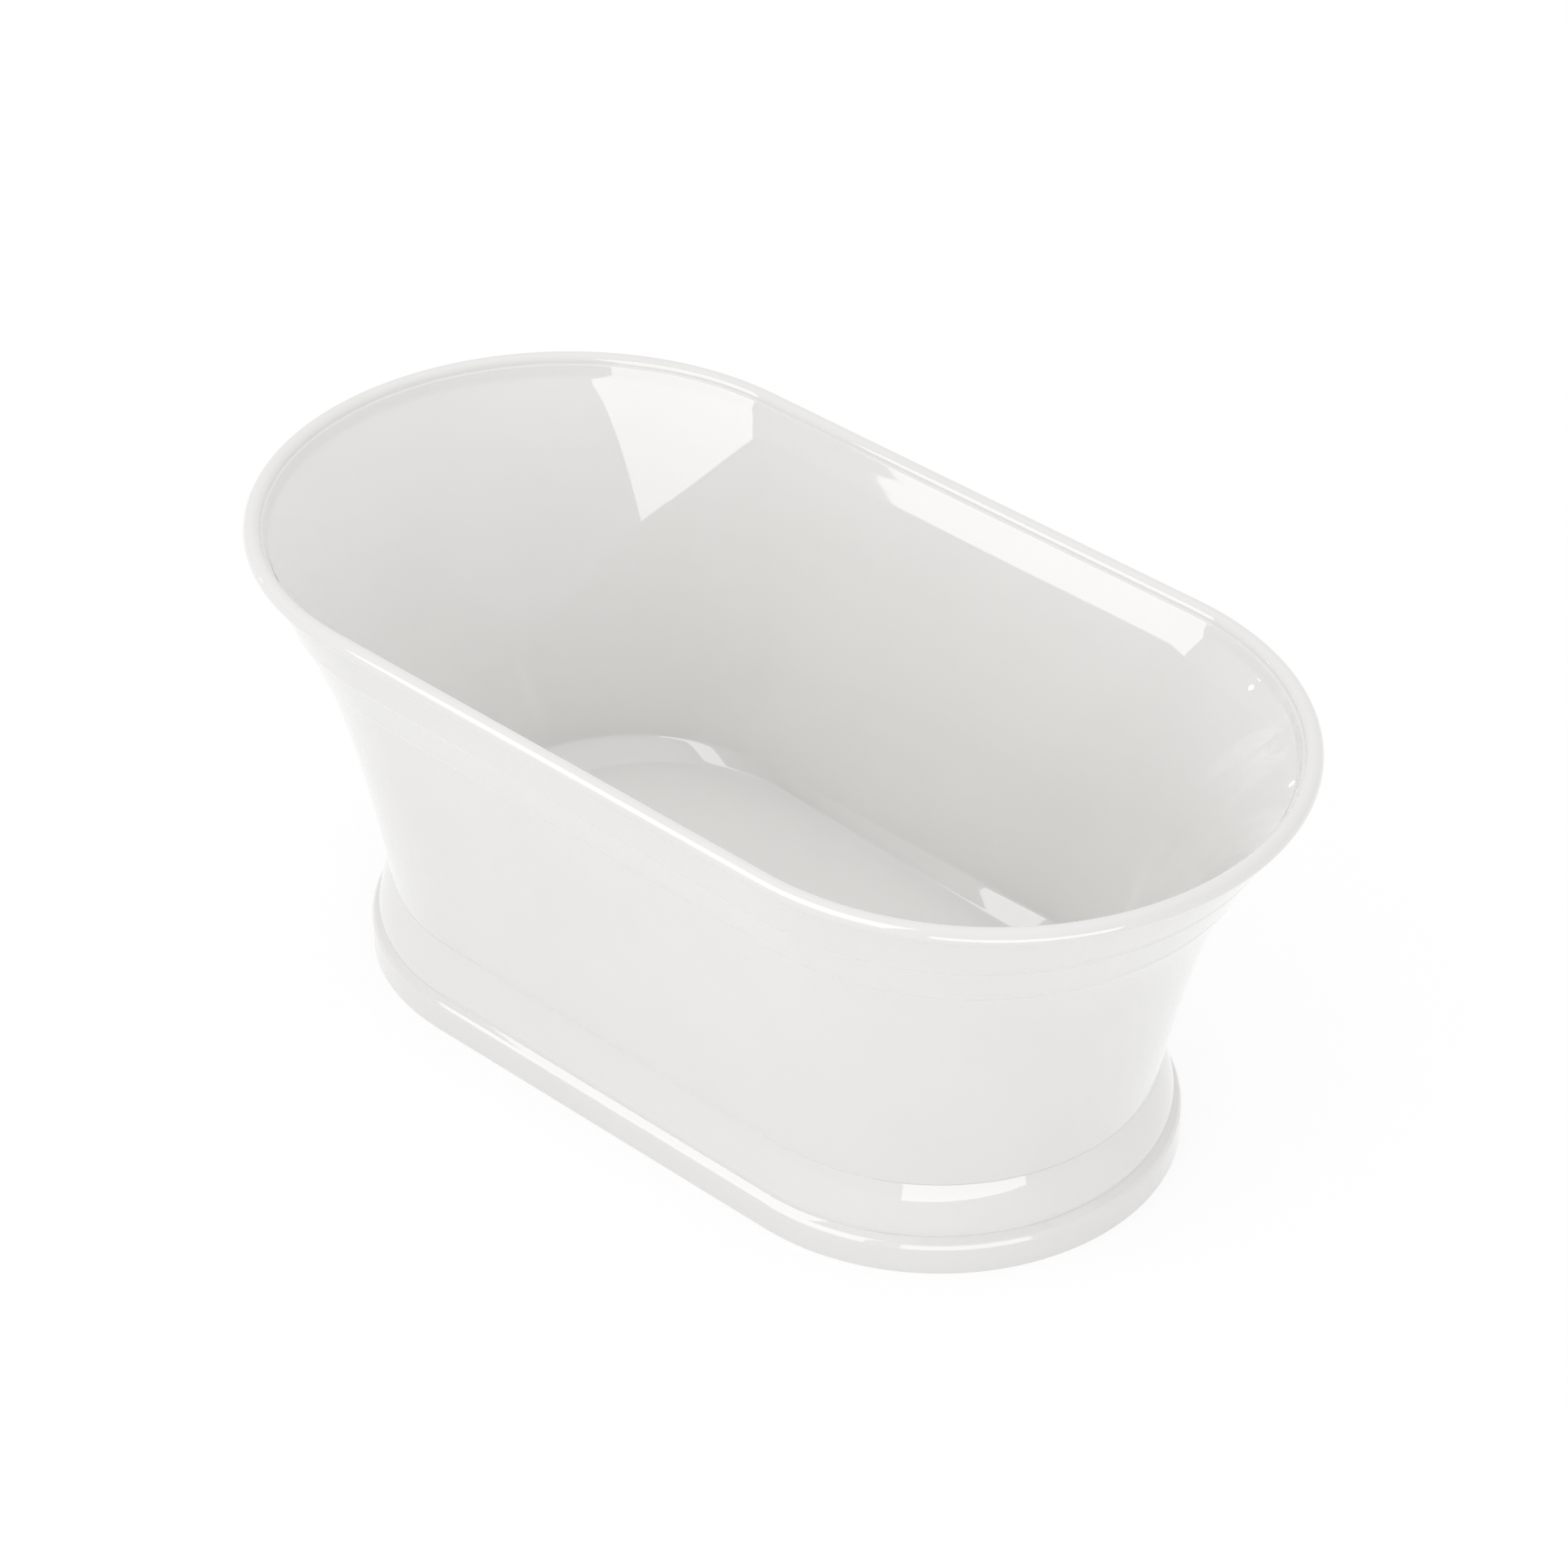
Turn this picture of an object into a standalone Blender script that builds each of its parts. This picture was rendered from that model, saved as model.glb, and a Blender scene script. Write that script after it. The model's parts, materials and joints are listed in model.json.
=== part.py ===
"""Freestanding double-skin bath with a rolled rim, a stepped fascia and a two-tier plinth.

The bath is as long as it lies along X, its floor falls towards the waste at +X, and it
stands on Z = 0 with its origin at the middle of its base. All sizes are in metres.
"""

import math

import bmesh
import bpy
from mathutils import Matrix, Vector

# Overall sizes
BATH_LENGTH = 1.500
BATH_WIDTH = 0.788
BATH_HEIGHT = 0.610
SKIN = 0.005
GAP = 0.0003
WELD = 0.001
THROUGH = 0.03
ARC_STEPS = 18

# Rolled rim, and the small lip inside it
ROLL_RADIUS = 0.011
ROLL_START, ROLL_END, ROLL_STEPS = -112.5, 157.5, 12
LIP_CLEARANCE = 0.0015
LIP_WIDTH, LIP_FALL = 0.004, 0.002
LIP_DROP = 0.025

# Fascia steps and waist of the outer skin: how far each lies in from the rim at the long
# sides and at the ends, and how far it lies below the rim
TOP_INSET, TOP_END_INSET, TOP_UPRIGHT = 0.0145, 0.0145, 0.004
STEP_1_INSET, STEP_1_END_INSET, STEP_1_DROP = 0.0315, 0.0471, 0.0915
STEP_2_INSET, STEP_2_END_INSET, STEP_2_DROP = 0.0535, 0.0755, 0.1475
LEDGE_WIDTH = 0.0026
LEDGE_ROUND = 0.0030
BODY_LEAN, BODY_BEND = 0.54, 0.28
WAIST_INSET, WAIST_END_INSET = 0.1137, 0.1842

LIP_INSET = TOP_INSET + 2 * SKIN + LIP_CLEARANCE + LIP_WIDTH

# Plinth
WAIST_HEIGHT = 0.1147
TIER_INSET, TIER_END_INSET, TIER_HEIGHT = 0.0945, 0.1680, 0.050
FOOT_INSET, FOOT_END_INSET, FOOT_HEIGHT = 0.0870, 0.1562, 0.039
FOOT_FLARE = 0.0009
TIER_ROUND, TIER_DRAFT = 0.006, 0.0006
CREASE_DEPTH, CREASE_DROP = 0.0030, 0.0045
FOOT_SHELF, FOOT_SHELF_RISE, FOOT_EDGE = 0.0042, 0.0015, 0.004
RETURN_FLANGE = 0.018

# Basin
BASIN_INSET, BASIN_END_INSET, BASIN_HEIGHT = 0.1505, 0.2730, 0.1370
WALL_TOP_PULL, WALL_TOP_DROP = 0.28, 0.16
WALL_LOW_PULL, WALL_LOW_DROP = 0.70, 0.52
FLOOR_STEP = 0.006
FLOOR_FALL = 0.006
FLOOR_BACK_INSET, FLOOR_WASTE_INSET = 0.038, 0.030
FLOOR_BACK_MARGIN, FLOOR_WASTE_MARGIN = 0.0010, 0.0231

# Baseboard and the legs below it
BOARD_THICKNESS = 0.018
BOARD_MARGIN, BOARD_SIDE_MARGIN = 0.062, 0.035
BOARD_WASTE_CLEARANCE = 0.080
BOARD_CORNER = 0.110
BAR_MARGIN = 0.057
BAR_FLANGE, BAR_CROWN, BAR_DEPTH, BAR_METAL = 0.014, 0.036, 0.025, 0.0025
BAR_OVERHANG = 0.022
FOOT_MARGIN = 0.0354
FOOT_SCREW_OFFSET = 0.035
BRACKET_LENGTH = 0.090
BRACKET_SCREW_MARGIN = 0.015
STUD_RADIUS = 0.006
STUD_CLEARANCE = 0.0003
STUD_HEADROOM, STUD_CHAMFER = 0.0065, 0.001
NUT_WALL, NUT_HEIGHT = 0.0032, 0.008
PAD_RIM, PAD_HEIGHT, PAD_SOLE = 0.0137, 0.018, 0.007
PAD_NECK, PAD_SHOULDER, PAD_EDGE = 0.004, 0.006, 0.001
SCREW_RADIUS, SCREW_HEAD_RADIUS, SCREW_HEAD = 0.002, 0.0042, 0.0026
SCREW_LENGTH, SCREW_TIP = 0.015, 0.003
PILOT_SPARE = 0.001

STUD_BORE = STUD_RADIUS + STUD_CLEARANCE

# Click-clack waste
WASTE_TO_FLOOR_END = 0.150
FLANGE_TUBE_RADIUS, FLANGE_TUBE_WALL, FLANGE_TUBE_LENGTH = 0.0225, 0.003, 0.041
FLANGE_RIM = 0.0125
FLANGE_THICKNESS, FLANGE_EDGE = 0.0036, 0.0012
FLANGE_DISH, FLANGE_DISH_WIDTH, FLANGE_CREST = 0.0020, 0.008, 0.003
FUNNEL_WIDTH, FUNNEL_TOP, FUNNEL_DEPTH, FUNNEL_MOUTH = 0.001, 0.0045, 0.012, 0.0005
WASTE_HOLE_CLEARANCE = 0.001
WASTE_RECESS_CLEARANCE, WASTE_RECESS_DEPTH = 0.0015, 0.003
WASTE_BOSS_WALL, WASTE_BOSS_DEPTH = 0.0095, 0.0085
SEAL_THICKNESS, SEAL_INSET = 0.0015, 0.001
GASKET_THICKNESS = 0.003
GASKET_RIM = 0.0145
COLLAR_THICKNESS, COLLAR_CHAMFER = 0.003, 0.001
WASTE_BODY_WALL, WASTE_BODY_LENGTH = 0.0047, 0.058
WASTE_TAIL_STEP, WASTE_TAIL_WALL, WASTE_TAIL_LENGTH = 0.0036, 0.0049, 0.020
WASTE_TAIL_CHAMFER = 0.002
SPIDER_DEPTH, SPIDER_HEIGHT, SPIDER_BAR, HUB_WALL = 0.013, 0.006, 0.004, 0.0028
STEM_RADIUS, CARTRIDGE_WALL, CARTRIDGE_COLLAR = 0.0025, 0.0017, 0.0015
CARTRIDGE_TAIL, CARTRIDGE_HEAD, STEM_TAIL = 0.010, 0.003, 0.006
CAP_MARGIN, CAP_HEIGHT, CAP_EDGE = 0.0035, 0.006, 0.0008
CAP_BOSS_WALL, CAP_BOSS_STEP, CAP_BOSS_FOOT = 0.002, 0.004, 0.0015
PLUG_SEAL_DROP, PLUG_SEAL_THICKNESS = 0.0002, 0.0025
SLIDE_CLEARANCE = 0.0002

WASTE_HOLE = FLANGE_TUBE_RADIUS + WASTE_HOLE_CLEARANCE
FLANGE_RADIUS = FLANGE_TUBE_RADIUS + FLANGE_RIM
WASTE_RECESS_RADIUS = FLANGE_RADIUS + WASTE_RECESS_CLEARANCE
WASTE_BOSS_RADIUS = WASTE_RECESS_RADIUS + WASTE_BOSS_WALL
WASTE_COLLAR_RADIUS = FLANGE_TUBE_RADIUS + GASKET_RIM
CAP_RADIUS = FLANGE_RADIUS - CAP_MARGIN
CARTRIDGE_RADIUS = STEM_RADIUS + CARTRIDGE_WALL
CAP_BOSS_RADIUS = CARTRIDGE_RADIUS + CAP_BOSS_WALL
HUB_RADIUS = CARTRIDGE_RADIUS + HUB_WALL

# Overflow and its hose
OVERFLOW_DROP = 0.130
OVERFLOW_HOLE = 0.020
COVER_OVERLAP, COVER_HEIGHT, COVER_WALL = 0.012, 0.0075, 0.002
COVER_HOLES, COVER_HOLE_RADIUS, COVER_HOLE_INSET = 6, 0.0045, 0.0035
COVER_SEAL_INSET, COVER_SEAL_CLEARANCE, OVERFLOW_GASKET_CLEARANCE = 0.002, 0.004, 0.0015
PAD_PROUD, PAD_BACK, PAD_MARGIN = 0.0032, 0.0006, 0.004
ELBOW_FLANGE, ELBOW_INSET, ELBOW_WALL, ELBOW_CLEARANCE = 0.009, 0.0005, 0.002, 0.0025
ELBOW_FLANGE_THICKNESS, ELBOW_CHAMFER = 0.0025, 0.0085
OVERFLOW_SCREW_RADIUS, OVERFLOW_SCREW_LENGTH = 0.002, 0.012
OVERFLOW_SCREW_HEAD, OVERFLOW_HEAD_HEIGHT, OVERFLOW_HEAD_EDGE = 0.0042, 0.0022, 0.0008
SCREW_BOSS_WALL, SCREW_BOSS_CLEARANCE = 0.0022, 0.002
SPIGOT_BORE, SPIGOT_WALL, SPIGOT_REACH, SPIGOT_FALL = 0.0065, 0.003, 0.045, 0.0414
HOSE_RADIUS, HOSE_WALL, HOSE_GAP = 0.0085, 0.0015, 0.0008
HOSE_LEAD, HOSE_TAIL = 0.020, 0.022
HOSE_HOLLOW_END, HOSE_BEND_DROP, HOSE_BEND_INSET = 0.035, 0.045, 0.008
HOSE_SAG_INSET, HOSE_SAG_RISE = 0.034, 0.010
HOSE_NUT_WALL, HOSE_NUT_LENGTH, HOSE_NUT_LIP, HOSE_NUT_CAP = 0.0032, 0.016, 0.003, 0.001
INLET_DROP, INLET_REACH = 0.050, 0.052

COVER_RADIUS = OVERFLOW_HOLE + COVER_OVERLAP
COVER_HOLE_CIRCLE = OVERFLOW_HOLE - COVER_HOLE_INSET
OVERFLOW_PAD_RADIUS = COVER_RADIUS + PAD_MARGIN
ELBOW_FLANGE_RADIUS = OVERFLOW_HOLE + ELBOW_FLANGE
ELBOW_BODY_RADIUS = OVERFLOW_HOLE - ELBOW_INSET
SCREW_BOSS_RADIUS = OVERFLOW_SCREW_RADIUS + GAP + SCREW_BOSS_WALL
SPIGOT_RADIUS = SPIGOT_BORE + SPIGOT_WALL
HOSE_NUT_RADIUS = SPIGOT_RADIUS + GAP + HOSE_NUT_WALL

# Finishes: linear colour, roughness, metallic
FINISHES = {
    "white_acrylic": ((0.83, 0.82, 0.81), 0.12, 0.0),
    "chipboard": ((0.45, 0.31, 0.17), 0.8, 0.0),
    "zinc_steel": ((0.58, 0.59, 0.60), 0.38, 1.0),
    "black_plastic": ((0.03, 0.03, 0.03), 0.5, 0.0),
    "chrome": ((0.80, 0.80, 0.81), 0.07, 1.0),
    "brass": ((0.72, 0.52, 0.22), 0.25, 1.0),
    "rubber": ((0.02, 0.02, 0.02), 0.75, 0.0),
    "white_plastic": ((0.76, 0.76, 0.75), 0.35, 0.0),
}

LEVEL = Matrix.Identity(4)


def clear_scene():
    for obj in list(bpy.data.objects):
        bpy.data.objects.remove(obj, do_unlink=True)


def new_collection(name):
    collection = bpy.data.collections.new(name)
    bpy.context.scene.collection.children.link(collection)
    return collection


def finish(name):
    """The shared material of that name, made at its first use."""
    material = bpy.data.materials.get(name)
    if material is None:
        colour, roughness, metallic = FINISHES[name]
        material = bpy.data.materials.new(name)
        material.use_nodes = True
        shader = material.node_tree.nodes["Principled BSDF"]
        shader.inputs["Base Color"].default_value = (*colour, 1.0)
        shader.inputs["Roughness"].default_value = roughness
        shader.inputs["Metallic"].default_value = metallic
    return material


def add_object(name, mesh, material, place=LEVEL):
    """A part with this mesh, or a hidden cutter where no material is given."""
    obj = bpy.data.objects.new(name, mesh)
    obj.matrix_world = place
    if material:
        mesh.materials.append(finish(material))
        parts.objects.link(obj)
    else:
        obj.hide_render = True
        obj.display_type = "WIRE"
        cutters.objects.link(obj)
    return obj


def mesh_of(name, build):
    """A mesh filled by a function that takes a bmesh."""
    mesh = bpy.data.meshes.new(name)
    shape = bmesh.new()
    build(shape)
    bmesh.ops.recalc_face_normals(shape, faces=shape.faces)
    shape.to_mesh(mesh)
    shape.free()
    return mesh


def cylinder(name, radius, low, high, place=LEVEL, material=None, steps=24):
    """A cylinder along the local Z axis, from low to high."""

    def build(shape):
        centre = Matrix.Translation((0, 0, (low + high) / 2))
        bmesh.ops.create_cone(
            shape,
            cap_ends=True,
            segments=steps,
            radius1=radius,
            radius2=radius,
            depth=high - low,
            matrix=centre,
        )

    return add_object(name, mesh_of(name, build), material, place)


def turned(name, profile, place=LEVEL, material=None, steps=24, closed=False):
    """A profile of (radius, height) points that runs down its outer side, turned about Z."""
    mesh = bpy.data.meshes.new(name)
    count = len(profile)
    edges = [(i, (i + 1) % count) for i in range(count if closed else count - 1)]
    mesh.from_pydata([(radius, 0, height) for radius, height in profile], edges, [])
    obj = add_object(name, mesh, material, place)
    screw = obj.modifiers.new("turn", "SCREW")
    screw.angle = math.tau
    screw.steps = screw.render_steps = steps
    screw.use_merge_vertices = True
    screw.merge_threshold = 0.00002
    return obj


def ring(name, bore, radius, low, high, place, material, steps=24):
    """A flat washer or sleeve."""
    profile = [(radius, high), (radius, low), (bore, low), (bore, high)]
    return turned(name, profile, place, material, steps, closed=True)


def plate(name, outlines, low, high, place, material):
    """A flat outline in the local XY plane, with holes, from height low to height high."""
    curve = bpy.data.curves.new(name, "CURVE")
    curve.dimensions = "2D"
    curve.fill_mode = "BOTH"
    curve.extrude = (high - low) / 2
    for outline in outlines:
        spline = curve.splines.new("POLY")
        spline.points.add(len(outline) - 1)
        for point, (x, y) in zip(spline.points, outline):
            point.co = (x, y, 0, 1)
        spline.use_cyclic_u = True
    centre = Matrix.Translation((0, 0, (low + high) / 2))
    return solid_from_curve(name, curve, place @ centre, material)


def solid_from_curve(name, curve, place, material):
    """The curve made a mesh, its caps welded to its sides."""
    guide = bpy.data.objects.new(name + "_curve", curve)
    cutters.objects.link(guide)
    bpy.context.view_layer.update()
    graph = bpy.context.evaluated_depsgraph_get()
    mesh = bpy.data.meshes.new_from_object(guide.evaluated_get(graph))
    bpy.data.objects.remove(guide)
    mesh.name = name
    shape = bmesh.new()
    shape.from_mesh(mesh)
    bmesh.ops.remove_doubles(shape, verts=shape.verts, dist=0.00001)
    bmesh.ops.recalc_face_normals(shape, faces=shape.faces)
    shape.to_mesh(mesh)
    shape.free()
    return add_object(name, mesh, material, place)


def boolean(obj, other, operation="DIFFERENCE"):
    step = obj.modifiers.new(operation.lower(), "BOOLEAN")
    step.operation = operation
    step.object = other


def thicken(obj):
    """Adds the skin's thickness behind the faces."""
    solidify = obj.modifiers.new("skin", "SOLIDIFY")
    solidify.thickness = SKIN
    solidify.offset = -1
    solidify.use_even_offset = True


def circle(radius, steps=24):
    turns = [math.tau * i / steps for i in range(steps)]
    return [(radius * math.cos(turn), radius * math.sin(turn)) for turn in turns]


def arc(centre, radius, start, end, steps):
    """Points of an arc in a cross-section, angles in degrees from outwards, through up."""
    turns = [math.radians(start + (end - start) * i / steps) for i in range(steps + 1)]
    return [(centre[0] - radius * math.cos(t), centre[1] + radius * math.sin(t)) for t in turns]


def mix(start, end, share):
    return start + (end - start) * share


def bezier(points, share):
    """The point of a Bezier curve through any number of control points."""
    while len(points) > 1:
        points = [
            tuple(mix(a, b, share) for a, b in zip(first, second))
            for first, second in zip(points, points[1:])
        ]
    return points[0]


def outline(back, back_radius, front, front_radius):
    """Two circles on the X axis, joined by the lines that touch them both."""
    tilt = math.asin((back_radius - front_radius) / (front - back))
    quarter = math.pi / 2
    points = []
    for centre, radius, start, end in (
        (front, front_radius, -quarter + tilt, quarter - tilt),
        (back, back_radius, quarter - tilt, 3 * quarter + tilt),
    ):
        for i in range(ARC_STEPS + 1):
            turn = mix(start, end, i / ARC_STEPS)
            points.append((centre + radius * math.cos(turn), radius * math.sin(turn)))
    return points


def level(inset, end_inset, height):
    """A ring of points round the bath, that far in from its sides and ends."""
    radius = BATH_WIDTH / 2 - inset
    centre = BATH_LENGTH / 2 - end_inset - radius
    return [(x, y, height) for x, y in outline(-centre, radius, centre, radius)]


def sheet(rings, cap=False):
    """An open skin through the rings, with its last ring filled when cap is set."""

    def build(shape):
        rows = [[shape.verts.new(point) for point in row] for row in rings]
        for upper, lower in zip(rows, rows[1:]):
            for i in range(len(upper)):
                j = (i + 1) % len(upper)
                shape.faces.new((upper[i], lower[i], lower[j], upper[j]))
        if cap:
            shape.faces.new(reversed(rows[-1]))

    return build


def skin(name, rings, outwards, cap=False):
    """A thickened skin whose finished face looks outwards, or into the bath."""
    mesh = bpy.data.meshes.new(name)
    shape = bmesh.new()
    sheet(rings, cap)(shape)
    if not outwards:
        bmesh.ops.reverse_faces(shape, faces=shape.faces)
    shape.to_mesh(mesh)
    shape.free()
    obj = add_object(name, mesh, "white_acrylic")
    thicken(obj)
    return obj


def body_curve(share):
    """(side inset, end inset, height) down the outer skin's body, from step 2 to the waist."""
    top = (STEP_2_INSET + LEDGE_WIDTH, STEP_2_END_INSET + LEDGE_WIDTH, BATH_HEIGHT - STEP_2_DROP)
    waist = (WAIST_INSET, WAIST_END_INSET, WAIST_HEIGHT + GAP)
    shares = (BODY_LEAN, BODY_LEAN, BODY_BEND)
    bend = tuple(mix(a, b, part) for a, b, part in zip(top, waist, shares))
    return bezier([top, bend, waist], share)


def wall_curve(share):
    """(side inset, end inset, height) down the basin's wall, from the lip to the floor step."""
    top = (LIP_INSET, LIP_INSET, BATH_HEIGHT - LIP_DROP)
    low = (BASIN_INSET, BASIN_END_INSET, BASIN_HEIGHT)
    first = (WALL_TOP_PULL, WALL_TOP_PULL, WALL_TOP_DROP)
    second = (WALL_LOW_PULL, WALL_LOW_PULL, WALL_LOW_DROP)
    controls = [top]
    for shares in (first, second):
        controls.append(tuple(mix(a, b, part) for a, b, part in zip(top, low, shares)))
    return bezier([*controls, low], share)


def at_height(curve, height):
    """The point of a falling curve at that height, found by halving."""
    low, high = 0.0, 1.0
    for _ in range(40):
        middle = (low + high) / 2
        if curve(middle)[2] > height:
            low = middle
        else:
            high = middle
    return curve(low)


def ledge(inset, end_inset, drop):
    """The small rounded edge under a fascia band, and the ledge that it stands proud by."""
    height = BATH_HEIGHT - drop
    points = ((0.0, LEDGE_ROUND * 1.6), (LEDGE_ROUND * 0.3, LEDGE_ROUND * 0.5), (LEDGE_WIDTH, 0.0))
    return [(inset + inwards, end_inset + inwards, height + up) for inwards, up in points]


def floor_outline():
    """The two end circles of the basin floor, which narrows towards the waste."""
    half_length = BATH_LENGTH / 2 - BASIN_END_INSET
    half_width = BATH_WIDTH / 2 - BASIN_INSET
    back_radius = half_width - FLOOR_BACK_MARGIN
    front_radius = half_width - FLOOR_WASTE_MARGIN
    back = -half_length + FLOOR_BACK_INSET + back_radius
    front = half_length - FLOOR_WASTE_INSET - front_radius
    return back, back_radius, front, front_radius


def floor_ends():
    back, back_radius, front, front_radius = floor_outline()
    return back - back_radius, front + front_radius


def floor_height(x):
    """The height of the basin floor's upper face, which falls evenly along X."""
    back_end, front_end = floor_ends()
    return BASIN_HEIGHT - FLOOR_STEP - FLOOR_FALL * (x - back_end) / (front_end - back_end)


def build_inner_shell():
    roll_centre = (ROLL_RADIUS, BATH_HEIGHT - ROLL_RADIUS)
    roll = arc(roll_centre, ROLL_RADIUS, ROLL_START, ROLL_END, ROLL_STEPS)
    rings = [level(inset, inset, height) for inset, height in roll]
    crest = LIP_INSET - LIP_WIDTH
    rings.append(level(crest, crest, BATH_HEIGHT - LIP_DROP + LIP_FALL))
    rings += [level(*wall_curve(i / 8)) for i in range(9)]
    rings.append([(x, y, floor_height(x)) for x, y in outline(*floor_outline())])
    shell = skin("inner_shell", rings, outwards=False, cap=True)

    waste = waste_place()
    boss_top = WELD - SKIN
    boss = cylinder("waste_boss_tool", WASTE_BOSS_RADIUS, -WASTE_BOSS_DEPTH, boss_top, waste, steps=32)
    boolean(shell, boss, "UNION")
    depth = WASTE_RECESS_DEPTH
    recess = cylinder("waste_recess_tool", WASTE_RECESS_RADIUS, -depth, THROUGH, waste, steps=32)
    boolean(shell, recess)
    hole = cylinder("waste_hole_tool", WASTE_HOLE, -THROUGH, THROUGH, waste)
    boolean(shell, hole)

    overflow = overflow_place()
    pad_low = -SKIN - PAD_BACK
    pad = cylinder("overflow_pad_tool", OVERFLOW_PAD_RADIUS, pad_low, PAD_PROUD, overflow, steps=32)
    boolean(shell, pad, "UNION")
    bore = cylinder("overflow_hole_tool", OVERFLOW_HOLE, -THROUGH, THROUGH, overflow)
    boolean(shell, bore)


def outer_profile():
    """(side inset, end inset, height) points down the outer skin's face."""
    top = BATH_HEIGHT - 2 * ROLL_RADIUS - GAP
    points = [(TOP_INSET, TOP_END_INSET, height) for height in (top, top - TOP_UPRIGHT)]
    points += ledge(STEP_1_INSET, STEP_1_END_INSET, STEP_1_DROP)
    points += ledge(STEP_2_INSET, STEP_2_END_INSET, STEP_2_DROP)
    return points + [body_curve(i / 7) for i in range(1, 8)]


def build_outer_shell():
    skin("outer_shell", [level(*point) for point in outer_profile()], outwards=True)


def build_plinth():
    profile = [
        (WAIST_INSET + RETURN_FLANGE, WAIST_END_INSET + RETURN_FLANGE, WAIST_HEIGHT),
        (WAIST_INSET, WAIST_END_INSET, WAIST_HEIGHT),
    ]
    for share, drop in ((0.45, 0.35), (0.8, 0.7)):
        height = mix(WAIST_HEIGHT, TIER_HEIGHT + TIER_ROUND, drop)
        inset = mix(WAIST_INSET, TIER_INSET, share)
        end_inset = mix(WAIST_END_INSET, TIER_END_INSET, share)
        profile.append((inset, end_inset, height))
    profile += [
        (TIER_INSET, TIER_END_INSET, TIER_HEIGHT + TIER_ROUND),
        (TIER_INSET + TIER_DRAFT, TIER_END_INSET + TIER_DRAFT, TIER_HEIGHT),
        (TIER_INSET + CREASE_DEPTH, TIER_END_INSET + CREASE_DEPTH, TIER_HEIGHT - CREASE_DROP),
        (FOOT_INSET + FOOT_SHELF, FOOT_END_INSET + FOOT_SHELF, FOOT_HEIGHT + FOOT_SHELF_RISE),
        (FOOT_INSET + FOOT_FLARE, FOOT_END_INSET + FOOT_FLARE, FOOT_HEIGHT - FOOT_EDGE),
        (FOOT_INSET, FOOT_END_INSET, 0.0),
        (FOOT_INSET + RETURN_FLANGE, FOOT_END_INSET + RETURN_FLANGE, 0.0),
    ]
    skin("plinth", [level(*point) for point in profile], outwards=True)


def board_underside():
    """The lowest point of the board's underside, level all over."""
    _, front_end = floor_ends()
    return floor_height(front_end) - SKIN - GAP - BOARD_THICKNESS


def board_ends():
    back_end, front_end = floor_ends()
    return back_end + BOARD_MARGIN, front_end - WASTE_TO_FLOOR_END - BOARD_WASTE_CLEARANCE


def board_half_width():
    return BATH_WIDTH / 2 - BASIN_INSET - FLOOR_WASTE_MARGIN - BOARD_SIDE_MARGIN


def bar_places():
    """The X of the two leg bars and, between them, of the centre bracket."""
    back, front = board_ends()
    return back + BAR_MARGIN, (back + front) / 2, front - BAR_MARGIN


def foot_reach():
    """How far the outer feet stand from the middle line."""
    return board_half_width() - FOOT_MARGIN


def screw_points():
    """Where each screw goes up into the board: (bar number, x, y)."""
    across = (BAR_CROWN + BAR_FLANGE) / 2
    bar_reach = foot_reach() - FOOT_SCREW_OFFSET
    bracket_reach = BRACKET_LENGTH / 2 - BRACKET_SCREW_MARGIN
    reaches = (bar_reach, bracket_reach, bar_reach)
    points = []
    for number, (x, reach) in enumerate(zip(bar_places(), reaches)):
        for side in (-1, 1):
            points += [(number, x + side * across, y) for y in (-reach, reach)]
    return points


def foot_points():
    """Where each foot stands: (bar number, x, y)."""
    left, middle, right = bar_places()
    half = foot_reach()
    return [(0, left, -half), (0, left, half), (2, right, -half), (2, right, half), (1, middle, 0.0)]


def build_board():
    """The board that is bedded under the floor: level below, and sloped to the floor above."""
    back, front = board_ends()
    half_width = board_half_width()
    corners = []
    for sign_x, sign_y, start in ((1, 1, 0), (-1, 1, 90), (-1, -1, 180), (1, -1, 270)):
        x = (front if sign_x > 0 else back) - sign_x * BOARD_CORNER
        y = sign_y * (half_width - BOARD_CORNER)
        for i in range(7):
            turn = math.radians(start + 90 * i / 6)
            corners.append((x + BOARD_CORNER * math.cos(turn), y + BOARD_CORNER * math.sin(turn)))
    low = board_underside()
    high = low + BOARD_THICKNESS
    board = plate("baseboard", [corners], low, high, LEVEL, "chipboard")
    middle = (low + high) / 2
    for vertex in board.data.vertices:
        if vertex.co.z > 0:
            vertex.co.z = floor_height(vertex.co.x) - SKIN - GAP - middle
    for number, x, y in screw_points():
        place = Matrix.Translation((x, y, low))
        depth = SCREW_LENGTH - BAR_METAL + PILOT_SPARE
        tool = f"pilot_tool_{number}_{x:.2f}_{y:.2f}"
        boolean(board, cylinder(tool, SCREW_RADIUS + GAP, -THROUGH, depth, place, steps=8))


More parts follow.
